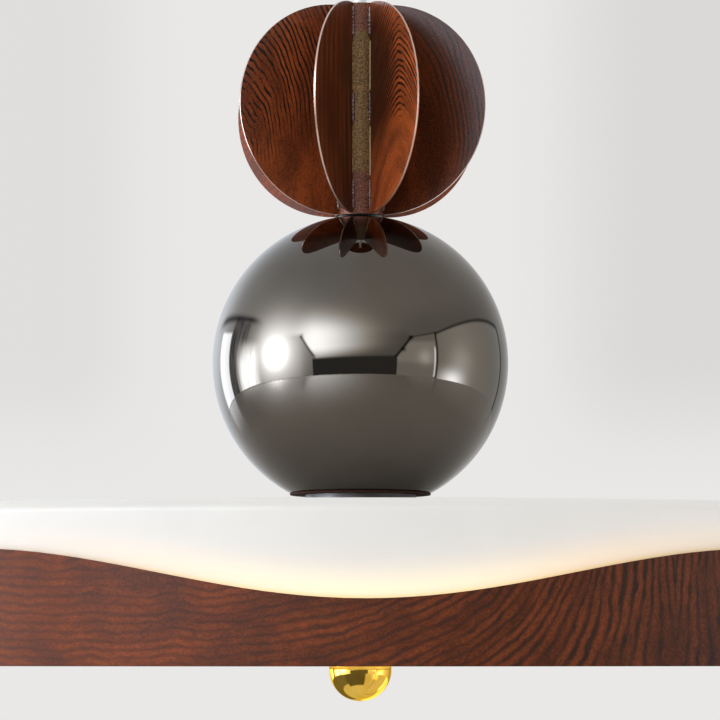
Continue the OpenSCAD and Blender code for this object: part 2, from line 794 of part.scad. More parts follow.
module led_down_board() {
    color(white_plastic) difference() {
        union() {
            for (i = [0 : 2]) {
                r = board_r + board_step * i;
                tube(r + board_w / 2, r - board_w / 2, board_bottom, chassis_z, $fn = round_fn / 2);
                for (k = [0 : 12 * (i + 1) - 1]) rotate([0, 0, 15 / (i + 1) + 30 * k / (i + 1)])
                    translate([r, 0, board_bottom - chip_t / 2 + chip_sink])
                        cube([chip_w, chip_w, chip_t + 2 * chip_sink], center = true);
            }
            for (turn = [45 : 90 : 315]) rotate([0, 0, turn])
                translate([board_r, -board_w / 2, board_bottom]) cube([2 * board_step, board_w, board_t]);
        }
        at_board_screws() translate([0, 0, -board_t - past])
            cylinder(r = small_hole_r, h = board_t + 2 * past);
    }
}

module board_screws() {
    color(steel) at_board_screws() {
        translate([0, 0, -board_t]) cylinder(r = small_screw_r, h = board_t + chassis_t);
        translate([0, 0, -board_t - small_screw_r])
            cylinder(r = head_ratio * small_screw_r, h = small_screw_r);
    }
}

module led_side_strip() {
    outer_r = strip_inner_r + board_t;
    color(white_plastic) {
        tube(outer_r, strip_inner_r, band_z + strip_lift, strip_top, $fn = round_fn);
        for (k = [0 : strip_chips - 1]) rotate([0, 0, 360 * (k + 0.5) / strip_chips])
            translate([outer_r + chip_t / 2 - chip_sink, 0, band_z + strip_lift + strip_w / 2])
                cube([chip_t + 2 * chip_sink, chip_w, chip_w], center = true);
    }
}

module diffuser_spacer() {
    color(steel) tube(spacer_d / 2, stem_hole_r, diffuser_z + diffuser_t,
        chassis_z - washer_t - chassis_nut_t);
}

module diffuser() {
    color(opal) translate([0, 0, diffuser_z]) difference() {
        cylinder(r = diffuser_r, h = diffuser_t, $fn = round_fn);
        translate([0, 0, -past]) cylinder(r = stem_r + 2 * free_gap, h = diffuser_t + 2 * past);
    }
}

module diffuser_washer() {
    color(gold) tube(washer_d / 2, stem_r + 2 * free_gap, finial_top, diffuser_z);
}

module finial_ball() {
    color(gold) difference() {
        union() {
            translate([0, 0, finial_z]) sphere(r = finial_d / 2, $fn = round_fn / 2);
            translate([0, 0, finial_z]) cylinder(r = finial_neck_d / 2, h = finial_top - finial_z);
        }
        translate([0, 0, finial_bore_end])
            cylinder(r = stem_r + running_gap, h = finial_top - finial_bore_end + past);
    }
}

ceiling_bracket();
ceiling_canopy();
canopy_screws();
terminal_block();
terminal_screw();
supply_lead();
swivel_washer();
swivel_nut();
swivel_yoke();
knuckle_pin();
rod_knuckle();
down_rod();
lamp_lead();
central_stem();
fin_tube();
fin(1);  // fin_1
fin(2);  // fin_2
fin(3);  // fin_3
fin(4);  // fin_4
fin(5);  // fin_5
fin(6);  // fin_6
fin(7);  // fin_7
fin(8);  // fin_8
fin_plugs();
fin_set_screw();
mirror_ball();
ball_seat();
ball_collar();
shade();
shade_washer();
spacer_tube();
wave_band();
band_nuts();
chassis();
chassis_washer();
chassis_nut();
down_light_driver();
side_light_driver();
driver_screws();
driver_link_lead();
down_light_lead();
side_light_lead();
led_down_board();
board_screws();
led_side_strip();
diffuser_spacer();
diffuser();
diffuser_washer();
finial_ball();
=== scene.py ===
from math import acos, asin, atan2, cos, degrees, factorial, hypot, pi, radians, sin, sqrt, tau

import bmesh
import bpy
from bpy.props import FloatProperty, FloatVectorProperty, IntProperty, PointerProperty
from mathutils import Matrix, Vector


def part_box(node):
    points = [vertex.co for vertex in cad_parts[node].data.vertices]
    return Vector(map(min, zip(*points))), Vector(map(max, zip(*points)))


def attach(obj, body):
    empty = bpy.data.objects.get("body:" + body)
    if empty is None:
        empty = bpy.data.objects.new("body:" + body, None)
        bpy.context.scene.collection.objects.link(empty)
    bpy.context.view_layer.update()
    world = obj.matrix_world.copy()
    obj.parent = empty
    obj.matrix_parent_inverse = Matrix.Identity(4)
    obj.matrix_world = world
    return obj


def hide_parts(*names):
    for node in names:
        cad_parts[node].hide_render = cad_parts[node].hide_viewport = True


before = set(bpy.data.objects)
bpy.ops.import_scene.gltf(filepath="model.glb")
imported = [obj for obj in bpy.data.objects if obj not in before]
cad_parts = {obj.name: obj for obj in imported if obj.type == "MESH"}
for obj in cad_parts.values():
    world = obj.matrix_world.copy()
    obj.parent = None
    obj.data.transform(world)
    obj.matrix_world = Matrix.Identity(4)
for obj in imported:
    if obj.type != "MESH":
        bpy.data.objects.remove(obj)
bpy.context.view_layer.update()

bl_info = {
    "name": "Pendant chandelier",
    "version": (1, 0, 0),
    "blender": (4, 5, 0),
    "location": "3D View > Sidebar > Chandelier",
    "description": "Finishes, welds and studio for a round pendant chandelier",
    "category": "Object",
}

# Measures of the solid model, in metres, as model.glb gives them
MM = 0.001
STEM_LOW, STEM_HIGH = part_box("central_stem")
BORE_R = STEM_HIGH.x + 0.05 * MM  # of the pieces that sit on the stem
BALL_LOW, BALL_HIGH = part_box("mirror_ball")
BALL_R = (BALL_HIGH.x - BALL_LOW.x) / 2
BALL_Z = BALL_HIGH.z - sqrt(BALL_R ** 2 - BORE_R ** 2)
TUBE_LOW, TUBE_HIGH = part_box("fin_tube")
TUBE_R = TUBE_HIGH.x
BAND_LOW, BAND_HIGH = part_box("wave_band")
BAND_R = BAND_HIGH.x
FINIAL_LOW, FINIAL_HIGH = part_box("finial_ball")
FINIAL_R = (FINIAL_HIGH.x - FINIAL_LOW.x) / 2
CANOPY_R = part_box("ceiling_canopy")[1].x
SCREWS_LOW, SCREWS_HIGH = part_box("canopy_screws")
SHADE_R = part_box("shade")[1].x
FIN_NAMES = [f"fin_{i}" for i in range(1, 9)]

# The band's wave: how many, where one is lowest from the camera's side, and how high it is there
WAVE_COUNT = 8
WAVE_TURN = radians(0.3)
BAND_HOLLOW = 25.9 * MM

# The photograph's camera: lens and pitch found from the ball, the drum and the fins
CAMERA_PLACE = (-0.00015, -1.6675, -0.7245)
CAMERA_PITCH = radians(5.056)
CAMERA_LENS = 165.0
FLOOR_R = 14.0

# Limits that the properties of one kind share
COLOR = {"subtype": "COLOR", "min": 0, "max": 1}
SHARE = {"min": 0, "max": 1}
POWER = {"unit": "POWER", "min": 0, "max": 500}


class Term:
    """A value or colour of a shader graph that can stand in a formula."""

    def __init__(self, graph, socket):
        self.graph = graph
        self.socket = socket

    def __add__(self, other):
        return self.graph.math("ADD", self, other)

    def __sub__(self, other):
        return self.graph.math("SUBTRACT", self, other)

    def __rsub__(self, other):
        return self.graph.math("SUBTRACT", other, self)

    def __mul__(self, other):
        return self.graph.math("MULTIPLY", self, other)

    def __truediv__(self, other):
        return self.graph.math("DIVIDE", self, other)

    def __abs__(self):
        return self.graph.math("ABSOLUTE", self)

    __radd__ = __add__
    __rmul__ = __mul__


class Graph:
    """Adds nodes to a node tree and joins their sockets."""

    def __init__(self, tree):
        self.tree = tree

    def add(self, kind, sockets=None, **settings):
        """A new shader node, its kind given without the prefix that all kinds share."""
        node = self.tree.nodes.new("ShaderNode" + kind)
        for name, value in settings.items():
            setattr(node, name, value)
        for key, value in (sockets or {}).items():
            self.put(node.inputs[key], value)
        return node

    def put(self, socket, value):
        """Joins a term to a socket or sets the socket's value; a colour comes without its alpha."""
        if isinstance(value, Term):
            self.tree.links.new(value.socket, socket)
        else:
            socket.default_value = (*value, 1) if socket.type == "RGBA" else value

    def terms(self, node):
        """The outputs of a node by their names."""
        return {socket.name: Term(self, socket) for socket in node.outputs}

    def term(self, kind, sockets=None, output=0, **settings):
        """One output of a new node."""
        return Term(self, self.add(kind, sockets, **settings).outputs[output])

    def math(self, operation, *values, clamp=False):
        return self.term("Math", dict(enumerate(values)), operation=operation, use_clamp=clamp)

    def combine(self, x, y, z):
        return self.term("CombineXYZ", {"X": x, "Y": y, "Z": z})

    def grey(self, value):
        return self.combine(value, value, value)

    def split(self, vector):
        return [Term(self, socket) for socket in self.add("SeparateXYZ", {0: vector}).outputs]

    def length(self, x, y):
        return self.math("SQRT", x * x + y * y)

    def step(self, value, low, high, shape="SMOOTHSTEP"):
        """Rises from 0 at low to 1 at high, smoothly or in another shape."""
        sockets = {"Value": value, "From Min": low, "From Max": high}
        return self.term("MapRange", sockets, "Result", interpolation_type=shape)

    def window(self, value, low, high, soft):
        """1 from low to high, with both sides fading over soft."""
        rise = self.step(value, low - soft / 2, low + soft / 2)
        return rise * self.step(value, high + soft / 2, high - soft / 2)

    def bell(self, value, center, width):
        """1 at the center, 0.61 at the width from it, fading to nothing."""
        away = (value - center) / width
        return self.math("EXPONENT", away * away * -0.5)

    def blend(self, share, first, second):
        """From the first value to the second by the share."""
        return first + share * (second - first)

    def mix(self, factor, first, second, blend="MIX"):
        """From the first colour to the second; the node has sockets 6 and 7 and output 2 for colours."""
        sockets = {0: factor, 6: first, 7: second}
        return self.term("Mix", sockets, 2, data_type="RGBA", blend_type=blend)

    def noise(self, vector, scale=1.0, detail=2.0, roughness=0.5):
        sockets = {"Vector": vector, "Scale": scale, "Detail": detail, "Roughness": roughness}
        return self.term("TexNoise", sockets)

    def bump(self, height, strength, distance):
        """A normal from a height, with the distance in millimetres."""
        sockets = {"Height": height, "Strength": strength, "Distance": distance * MM}
        return self.term("Bump", sockets)

    def turn(self, x, y):
        """The turn round the stem from the camera's side to the right, in radians."""
        return self.math("ARCTAN2", x, y * -1.0)

    def group(self, name, **values):
        """The outputs of a shared group, with its sockets set by their names."""
        node = self.add("Group", node_tree=bpy.data.node_groups[name])
        for key, value in values.items():
            self.put(node.inputs[key.title()], value)
        return self.terms(node)


def empty_tree(data):
    """The emptied node tree of a material or a world."""
    data.use_nodes = True
    data.node_tree.nodes.clear()
    return data.node_tree


def new_group(name, inputs, **outputs):
    """A shader node group. An input's default tells its kind: a number, a vector or, of four, a colour."""
    tree = bpy.data.node_groups.new(name, "ShaderNodeTree")
    for label, default in inputs.items():
        kind = {1: "Float", 3: "Vector", 4: "Color"}[len(default) if isinstance(default, tuple) else 1]
        socket = tree.interface.new_socket(label, in_out="INPUT", socket_type="NodeSocket" + kind)
        socket.default_value = default
    for label, kind in outputs.items():
        tree.interface.new_socket(label.title(), in_out="OUTPUT", socket_type="NodeSocket" + kind)
    graph = Graph(tree)
    return graph, graph.terms(tree.nodes.new("NodeGroupInput")), tree.nodes.new("NodeGroupOutput").inputs


def make_walnut_group():
    """Dark print lines along rings, broken and swollen, over a warm ground with clouds and fibres."""
    graph, start, end = new_group(
        "walnut_print",
        {
            "Ring": 0.0, "Along": 0.0, "Seed": 0.0, "Spacing": 3.0, "Contrast": 1.0, "Warp": 5.0,
            "Stroke": 12.0, "Tone": 1.0, "Blur": 0.0, "Light": (0.3, 0.07, 0.02, 1),
            "Middle": (0.12, 0.03, 0.01, 1), "Dark": (0.02, 0.01, 0.007, 1),
        },
        color="Color", line="Float",
    )
    ring, along, seed, stroke = start["Ring"], start["Along"], start["Seed"], start["Stroke"]
    broad = graph.noise(graph.combine(ring / 30.0, along / 46.0, seed))
    close = graph.noise(graph.combine(ring / 4.5, along / stroke * 1.6, seed))
    bent = ring + (broad - 0.5) * start["Warp"] + (close - 0.5) * start["Spacing"] * 0.55
    turns = bent / start["Spacing"]
    wave = graph.math("SINE", turns * tau)
    swell = graph.noise(graph.combine(turns * 0.8, along / stroke, seed), detail=2.5, roughness=0.6)
    fibre = graph.noise(graph.combine(turns * 4.0, along / stroke * 1.8, seed), detail=3.0, roughness=0.65)
    cloud = graph.noise(graph.combine(turns * 0.25, along / 40.0, seed), detail=3.0)
    speck = graph.noise(graph.combine(ring * 1.2, along * 0.8, seed), detail=2.5, roughness=0.7)
    broken = wave + (swell - 0.5) * 2.8 + (cloud - 0.5) * 2.8 + (speck - 0.5) * 1.9
    line = graph.step(broken, 0.1 - start["Blur"], start["Blur"] * 0.8 + 1.2)
    dark = graph.math("MAXIMUM", line * start["Contrast"], graph.step(fibre, 0.46, 0.78) * 0.5, clamp=True)
    ground = graph.mix(graph.step(cloud, 0.34, 0.66), start["Middle"], start["Light"])
    tone = start["Tone"] * graph.blend(graph.step(speck, 0.3, 0.7), 0.68, 1.32)
    ground = graph.mix(1.0, ground, graph.grey(tone), "MULTIPLY")
    graph.put(end["Color"], graph.mix(dark, ground, start["Dark"]))
    graph.put(end["Line"], dark)


def make_powder_group():
    """The orange peel and pale flecks of a sprayed satin coat, the flecks partly the print's dots and partly
    painted glints of the peel; Place is in millimetres.
    """
    graph, start, end = new_group(
        "powder_skin", {"Place": (0, 0, 0), "Size": 1.0}, height="Float", fleck="Float"
    )
    sockets = {0: start["Place"], 1: graph.grey(start["Size"])}
    place = graph.term("VectorMath", sockets, operation="DIVIDE")
    peel = graph.noise(place, 1.1, 2.0, 0.55)
    grit = graph.noise(place, 1.5, 1.5, 0.6)
    graph.put(end["Height"], peel + grit * 0.5)
    graph.put(end["Fleck"], graph.step(grit, 0.53, 0.74))


def make_metal_group():
    """Uneven polish and hairline scratches; Place is in millimetres, stretched by Grain along Z."""
    graph, start, end = new_group(
        "metal_skin", {"Place": (0, 0, 0), "Grain": 1.0, "Low": 0.1, "High": 0.3},
        height="Float", rough="Float",
    )
    x, y, z = graph.split(start["Place"])
    hair = graph.noise(graph.combine(x, y, z / start["Grain"]), 3.0, 3.0, 0.6)
    cloud = graph.noise(start["Place"], 0.07, 3.0)
    wear = graph.step(hair * 0.5 + cloud * 0.5, 0.3, 0.7)
    graph.put(end["Rough"], graph.blend(wear, start["Low"], start["High"]))
    graph.put(end["Height"], hair)


def make_moulded_group():
    """The faint mottling of a moulded or painted plain surface; Place is in millimetres."""
    graph, start, end = new_group(
        "moulded_skin", {"Place": (0, 0, 0), "Color": (0.9, 0.9, 0.9, 1), "Amount": 0.06},
        color="Color", height="Float",
    )
    cloud = graph.noise(start["Place"], 0.05, 4.0)
    shade = graph.step(cloud, 0.3, 0.7) * start["Amount"]
    graph.put(end["Color"], graph.mix(shade, start["Color"], (0, 0, 0)))
    graph.put(end["Height"], graph.noise(start["Place"], 1.5, 2.0))


def make_room_group():
    """What polished metal mirrors, by azimuth from the camera's side and elevation, both in degrees."""
    graph, start, end = new_group("mirrored_room", {"Azimuth": 0.0, "Elevation": 0.0}, color="Color")
    az, el = start["Azimuth"], start["Elevation"]
    bell, blend, step, window = graph.bell, graph.blend, graph.step, graph.window

    def spot(strength, across, width, up, height):
        return strength * bell(az, across, width) * bell(el, up, height)

    # Even room, brighter toward the left, with the haze of the lit softboxes
    level = 0.88 - 0.13 * step(az, -70, 60) - 0.16 * step(el, 42, 20) * step(az, -20, 60)
    level += spot(0.8, -66, 42, 22, 16) + spot(0.85, -143, 12, 8, 12)

    # Dark folds of a drape beside the left softbox, and the grey front screen
    folds = graph.noise(graph.combine(az * 0.7, el * 0.06, 0.0), 1.0, 2.0)
    drape = window(az, -122.0, -100.0, 3.0) * step(el, 22, 19)
    level *= 1 - drape * (0.35 + 0.5 * step(folds, 0.35, 0.65))
    level *= 1 - 0.3 * window(az, -46, 38, 6) * step(el, 24, 14)

    # Left softbox with its bright core, a second light beside it, and the lit left part of the front screen
    core = spot(10.0, -69, 13.5, 5, 12.7) + spot(30.0, -69, 5, 4, 4.5)
    shadow = 1 - 0.4 * window(az, -104, -86, 10) * window(el, 11, 23, 5)
    level *= shadow
    beside = step(az, -114.5, -103) * step(az, -83, -93) * step(el, 14, 1)
    beside *= (1 - 0.3 * step(folds, 0.4, 0.7)) * shadow
    lean = az + 46 + (el - 14) * 0.82
    left, right = graph.math("MINIMUM", az, -35.0), graph.math("MAXIMUM", az, -35.0)
    lit = bell(left, -35, 12) * bell(right, -35, 21) * bell(graph.math("MAXIMUM", el, 15.0), 15, 9.5)
    lit *= step(el - graph.math("MAXIMUM", az + 30, 0.0) * 0.1, -3.5, 8)
    lit *= graph.math("MAXIMUM", step(lean, -0.7, 0.7), step(el, 14, 19))
    level += core + 8.6 * beside + 8.4 * lit

    # White strip at the far left
    strip = step(az, -141.5, -136.5) * step(az, -122.0, -123.6) * step(el - (az + 132) * 0.12, 13.6, 12.0)
    level = blend(strip, level, 5.6)

    # Black stand under the front screen
    stand = window(az, -37.0, 28.3, 1.0) * step(el - az * 0.03, 1.8, -0.8)
    level = blend(stand, level, 0.15)

    # Near right panel between the stand's strut and a post
    strut = az - 28 - (el - 1.5) * 0.89
    near_top = el - 15.2 - (az - 40) * 0.12
    near = step(az, 27.8, 28.8) * step(strut, -0.5, 0.5) * step(az, 60.8, 60.0) * step(near_top, 0.5, -0.5)
    tone = 1.35 + spot(1.1, 51, 4, 1, 3.5) - 0.35 * step(el, -1, -5) - 0.5 * step(el, 10, 14)
    level = blend(near, level, tone)

    # Far right panel with its arched top and a lamp low in front of it
    arch = el - 21.8 + (az - 95) * (az - 95) * 0.0042
    far = window(az, 60.8, 140, 1.0) * step(arch, 0.6, -0.6)
    tone = 1.0 + 0.35 * bell(az, 84, 13) + spot(0.9, 84, 8, 0, 6) + spot(6.8, 77, 7.5, -11.5, 4)
    tone -= 0.25 * step(az, 105, 135)
    level = blend(far, level, tone)

    # Floor side, which the finial alone mirrors: dark stand in front, dark wall at the left, a window
    under = 0.8 - 0.66 * window(az, -62, 20, 8) * step(el, -60, -54)
    under -= 0.58 * window(az, -172, -62, 6) * window(el, -46, -14, 5)
    under += 1.3 * bell(az, 62, 8) * step(el, -34, -26)
    under += 1.1 * window(az, 118, 178, 6) * step(el, -46, -38)
    level = blend(step(el, -12.5, -14), level, under)

    # Thin dark frames, posts, struts and knobs, and a bright slit
    left_arch = el - 22.6 + (az + 92) * (az + 92) * 0.0032
    dark_lines = [
        0.75 * bell(arch, 0, 0.6) * window(az, 61, 139, 1),
        0.8 * bell(left_arch, 0, 1.1) * window(az, -147, -94, 16),
        0.9 * bell(az, 61.4, 0.65) * step(el, 19, 18),
        0.8 * bell(az, 140, 0.9) * step(el, 15, 13),
        0.55 * bell(near_top, 0, 0.5) * window(az, 40, 60, 1),
        0.93 * bell(strut * 0.75, 0, 0.75) * window(el, 0.5, 15.5, 1),
        0.75 * bell(lean * 0.77, 0, 0.7) * window(el, 1, 15.5, 1),
        spot(0.6, -47, 1.1, 15.8, 1.2),
        spot(0.85, 40, 1.4, 14.8, 1.1),
        spot(0.85, 33.3, 1.3, 6.2, 1.1),
    ]
    for line in dark_lines:
        level *= 1 - line
    level += 4.0 * bell(az, 59.6, 0.5) * step(el, 10, 6) * step(el, -12, -11)
    cool = graph.math("MAXIMUM", step(level, 1.2, 4.0), step(az, 20, -60) * 0.6)
    tint = graph.mix(cool, (1.0, 0.995, 0.985), (0.91, 1.0, 1.14))
    graph.put(end["Color"], graph.mix(1.0, graph.grey(level), tint, "MULTIPLY"))


class Surface(Graph):
    """The graph of a new material, with its Principled shader and the place on the object in millimetres,
    turned round Z so that the direction turn lies along X."""

    def __init__(self, name, turn=0.0):
        self.material = bpy.data.materials.new(name)
        super().__init__(empty_tree(self.material))
        self.shader = self.add("BsdfPrincipled")
        self.add("OutputMaterial", {"Surface": Term(self, self.shader.outputs[0])})
        source = self.term("TexCoord", output="Object")
        sockets = {"Vector": source, "Rotation": (0, 0, -turn), "Scale": (1 / MM, 1 / MM, 1 / MM)}
        self.place = self.term("Mapping", sockets)

    def finish(self, specular=0.5, **values):
        """Sets the shader by its sockets' names, and its specular level, and gives the material."""
        self.shader.inputs["Specular IOR Level"].default_value = specular
        for key, value in values.items():
            self.put(self.shader.inputs[key.replace("_", " ").title()], value)
        return self.material


def walnut_print(graph, settings, **sockets):
    """The print's colour and its lines along rings in millimetres."""
    return graph.group(
        "walnut_print", light=settings.walnut_light, middle=settings.walnut_middle,
        dark=settings.walnut_dark, **sockets,
    )


def finish_walnut(graph, settings, figure, specular, flecks, edge=None):
    """The satin coat over the print, with pale flecks that are partly painted glints, and the bare pink edge
    where the sheet was cut.
    """
    skin = graph.group("powder_skin", place=graph.place, size=settings.powder_size)
    # Pale flecks: partly the print's dots, partly painted glints of the orange peel
    flecked_and_glinting = graph.mix(0.5, figure["Color"], settings.fleck_and_glint_color)
    color = graph.mix(skin["Fleck"] * flecks, figure["Color"], flecked_and_glinting)
    rough = figure["Line"] * 0.08 + settings.walnut_roughness
    metallic = 0.0
    if edge is not None:
        color = graph.mix(edge, color, settings.edge_color)
        rough -= edge * 0.1
        metallic = edge * 0.5
    normal = graph.bump(skin["Height"], 0.35, 0.08)
    return graph.finish(specular, base_color=color, metallic=metallic, roughness=rough, normal=normal)


def plain_material(name, color, roughness, amount):
    """A moulded or painted surface of one colour with its faint mottling."""
    graph = Surface(name)
    skin = graph.group("moulded_skin", place=graph.place, color=color, amount=amount)
    rough = skin["Height"] * 0.12 + (roughness - 0.06)
    normal = graph.bump(skin["Height"], 0.15, 0.05)
    return graph.finish(base_color=skin["Color"], roughness=rough, normal=normal)


def metal_material(name, color, low, high, grain=1.0, dull=(0.8, 0.8, 0.8), cloud=(0.12, 3.0, 0.35),
                   relief=(0.08, 0.05), edge=(1, 1, 1)):
    """A plated, brushed or polished metal. Its roughness runs from low to high and its brushing up the
    piece. Clouds of the duller colour have a scale, a detail and a start; edge tints it at a slant."""
    graph = Surface(name)
    skin = graph.group("metal_skin", place=graph.place, grain=grain, low=low, high=high)
    scale, detail, start = cloud
    clouds = graph.step(graph.noise(graph.place, scale, detail), start, 0.7)
    tone = graph.mix(clouds, color, tuple(c * f for c, f in zip(color, dull)))
    normal = graph.bump(skin["Height"], *relief)
    return graph.finish(
        base_color=tone, metallic=1.0, roughness=skin["Rough"], specular_tint=edge, normal=normal
    )


def assign(material, *names, soft=None):
    """Gives nodes of the solid model their one material, and crisp edges a bevel, in millimetres."""
    for name in names:
        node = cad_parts[name]
        node.data.materials.clear()
        node.data.materials.append(material)
        if soft:
            tool = node.modifiers.new("soft_edges", "BEVEL")
            tool.width = soft * MM
            tool.segments = 2
            tool.limit_method = "ANGLE"
            tool.angle_limit = radians(50)


def new_piece(name, mesh_tool, material, body, smooth_angle=35.0):
    """A piece of the scene from a bmesh, riding on a body."""
    mesh = bpy.data.meshes.new(name)
    bmesh.ops.recalc_face_normals(mesh_tool, faces=mesh_tool.faces)
    mesh_tool.to_mesh(mesh)
    mesh_tool.free()
    mesh.polygons.foreach_set("use_smooth", [True] * len(mesh.polygons))
    mesh.set_sharp_from_angle(angle=radians(smooth_angle))
    mesh.materials.append(material)
    piece = bpy.data.objects.new(name, mesh)
    bpy.context.scene.collection.objects.link(piece)
    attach(piece, body)
    return piece


def bridge(tool, rings, closed=True, capped=False):
    """Faces from each row of points to the next; closed rows are rings, and capped ones end in a face."""
    for first, second in zip(rings, rings[1:]):
        count = len(first)
        for k in range(count if closed else count - 1):
            n = (k + 1) % count
            tool.faces.new((first[k], first[n], second[n], second[k]))
    if capped:
        tool.faces.new(rings[0][::-1])
        tool.faces.new(rings[-1])


def lathe(profile, segments, closed=True):
    """A turned solid from (radius, height) points in metres, round the Z axis."""
    tool = bmesh.new()
    rows = []
    for i in range(segments):
        turn = tau * i / segments
        direction = Vector((cos(turn), sin(turn), 0))
        rows.append([tool.verts.new(direction * r + Vector((0, 0, z))) for r, z in profile])
    bridge(tool, rows + rows[:1], closed)
    bmesh.ops.remove_doubles(tool, verts=tool.verts, dist=1e-7)
    return tool


def arc(center_z, radius, low, high, steps):
    """Points of a profile along an arc round the axis, from low to high degrees above the horizontal."""
    angles = [radians(low + (high - low) * i / steps) for i in range(steps + 1)]
    return [(radius * cos(a), center_z + radius * sin(a)) for a in angles]


def fin_turn(name):
    """The direction in which a fin stands out from the stem, in radians from +X."""
    points = [v.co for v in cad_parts[name].data.vertices]
    middle = sum((Vector((p.x, p.y)) for p in points), Vector((0, 0))) / len(points)
    return atan2(middle.y, middle.x)


class StudioSettings(bpy.types.PropertyGroup):
    """Backdrop, floor, even light and lamps."""

    backdrop_side: FloatVectorProperty(
        name="Backdrop beside", description="Backdrop colour above and beside the pool of light",
        default=(0.738, 0.730, 0.717), **COLOR,
    )
    backdrop_color: FloatVectorProperty(
        name="Backdrop", description="Colour of the backdrop's pool of light and of the floor",
        default=(0.815, 0.807, 0.796), **COLOR,
    )
    backdrop_fall: FloatProperty(
        name="Backdrop falloff", description="How much darker the backdrop is at the upper right",
        default=0.05, min=0, max=0.5,
    )
    floor_drop: FloatProperty(
        name="Floor below ceiling", description="Height of the room",
        default=2.6, min=1.2, max=6, unit="LENGTH",
    )
    room_level: FloatProperty(
        name="Room light", description="Even light from all sides", default=0.86, min=0, max=2
    )
    room_fall: FloatProperty(
        name="Room falloff", description="How much darker the room is on the right", default=0.2, **SHARE
    )
    key_power: FloatProperty(
        name="Key lamp", description="Power of the softbox on the left", default=15.0, **POWER
    )
    fill_power: FloatProperty(
        name="Fill lamp", description="Power of the softbox on the right", default=0.5, **POWER
    )
    under_power: FloatProperty(
        name="Floor bounce", description="Power of the light from below", default=4.0, **POWER
    )


class FinishSettings(bpy.types.PropertyGroup):
    """Colours and finishes of the lamp."""

    walnut_light: FloatVectorProperty(
        name="Walnut light", description="Light ground of the print", default=(0.185, 0.040, 0.0098), **COLOR
    )
    walnut_middle: FloatVectorProperty(
        name="Walnut middle", description="Dark ground of the print", default=(0.085, 0.019, 0.0056), **COLOR
    )
    walnut_dark: FloatVectorProperty(
        name="Walnut lines", description="Colour of the print's lines",
        default=(0.010, 0.006, 0.0042), **COLOR,
    )
    walnut_roughness: FloatProperty(
        name="Walnut roughness", description="Roughness of the satin coat", default=0.3, **SHARE
    )
    walnut_gloss: FloatProperty(
        name="Walnut gloss", description="Specular level of the fins' coat", default=0.2, **SHARE
    )
    band_gloss: FloatProperty(
        name="Band gloss", description="Specular level of the band's coat", default=0.19, **SHARE
    )
    # Pale flecks of the coat, partly painted glints of its orange peel
    fleck_and_glint_color: FloatVectorProperty(
        name="Flecks", description="Pale flecks of the coat", default=(0.42, 0.2, 0.11), **COLOR
    )
    edge_color: FloatVectorProperty(
        name="Sheet edge", description="Cut edge of the fins", default=(0.62, 0.45, 0.38), **COLOR
    )
    powder_size: FloatProperty(
        name="Orange peel", description="Scale of the coat's texture, in millimetres",
        default=1.0, min=0.2, max=5,
    )
    chrome_color: FloatVectorProperty(
        name="Smoked chrome", description="Mirror colour of the ball", default=(0.122, 0.107, 0.089), **COLOR
    )
    gold_color: FloatVectorProperty(
        name="Gold", description="Mirror colour of the finial", default=(0.88, 0.53, 0.085), **COLOR
    )
    bronze_color: FloatVectorProperty(
        name="Bronze", description="Colour of the tube in the fins", default=(0.31, 0.165, 0.05), **COLOR
    )
    shade_color: FloatVectorProperty(
        name="Opal", description="Colour of the shade", default=(0.90, 0.89, 0.865), **COLOR
    )
    glow_color: FloatVectorProperty(
        name="Glow", description="Colour of the light in the wave's hollows",
        default=(1.0, 0.71, 0.34), **COLOR,
    )
    glow_crest_color: FloatVectorProperty(
        name="Glow at the crests", description="Colour of the light on the wave's crests",
        default=(1.0, 0.5, 0.12), **COLOR,
    )
    glow_strength: FloatProperty(
        name="Glow strength", description="Strength of the light at the wave's edge",
        default=0.5, min=0, max=10,
    )
    glow_rise: FloatProperty(
        name="Glow height", description="How far the light spreads above the wave, in millimetres",
        default=9.4, min=1, max=40,
    )
    steel_color: FloatVectorProperty(
        name="Zinc", description="Colour of the zinc-plated fittings", default=(0.55, 0.57, 0.58), **COLOR
    )
    nickel_color: FloatVectorProperty(
        name="Nickel", description="Colour of the swivel", default=(0.70, 0.67, 0.62), **COLOR
    )


class DetailSettings(bpy.types.PropertyGroup):
    """Sizes of what the scene adds."""

    weld_r: FloatProperty(
        name="Weld bead", description="Radius of the weld beads",
        default=0.0011, min=0.0003, max=0.003, unit="LENGTH", precision=4,
    )
    knurls: IntProperty(
        name="Knurls", description="Ridges round a canopy screw's head", default=28, min=8, max=80
    )
    ball_segments: IntProperty(
        name="Ball segments", description="Facets round the mirror ball", default=160, min=48, max=400
    )


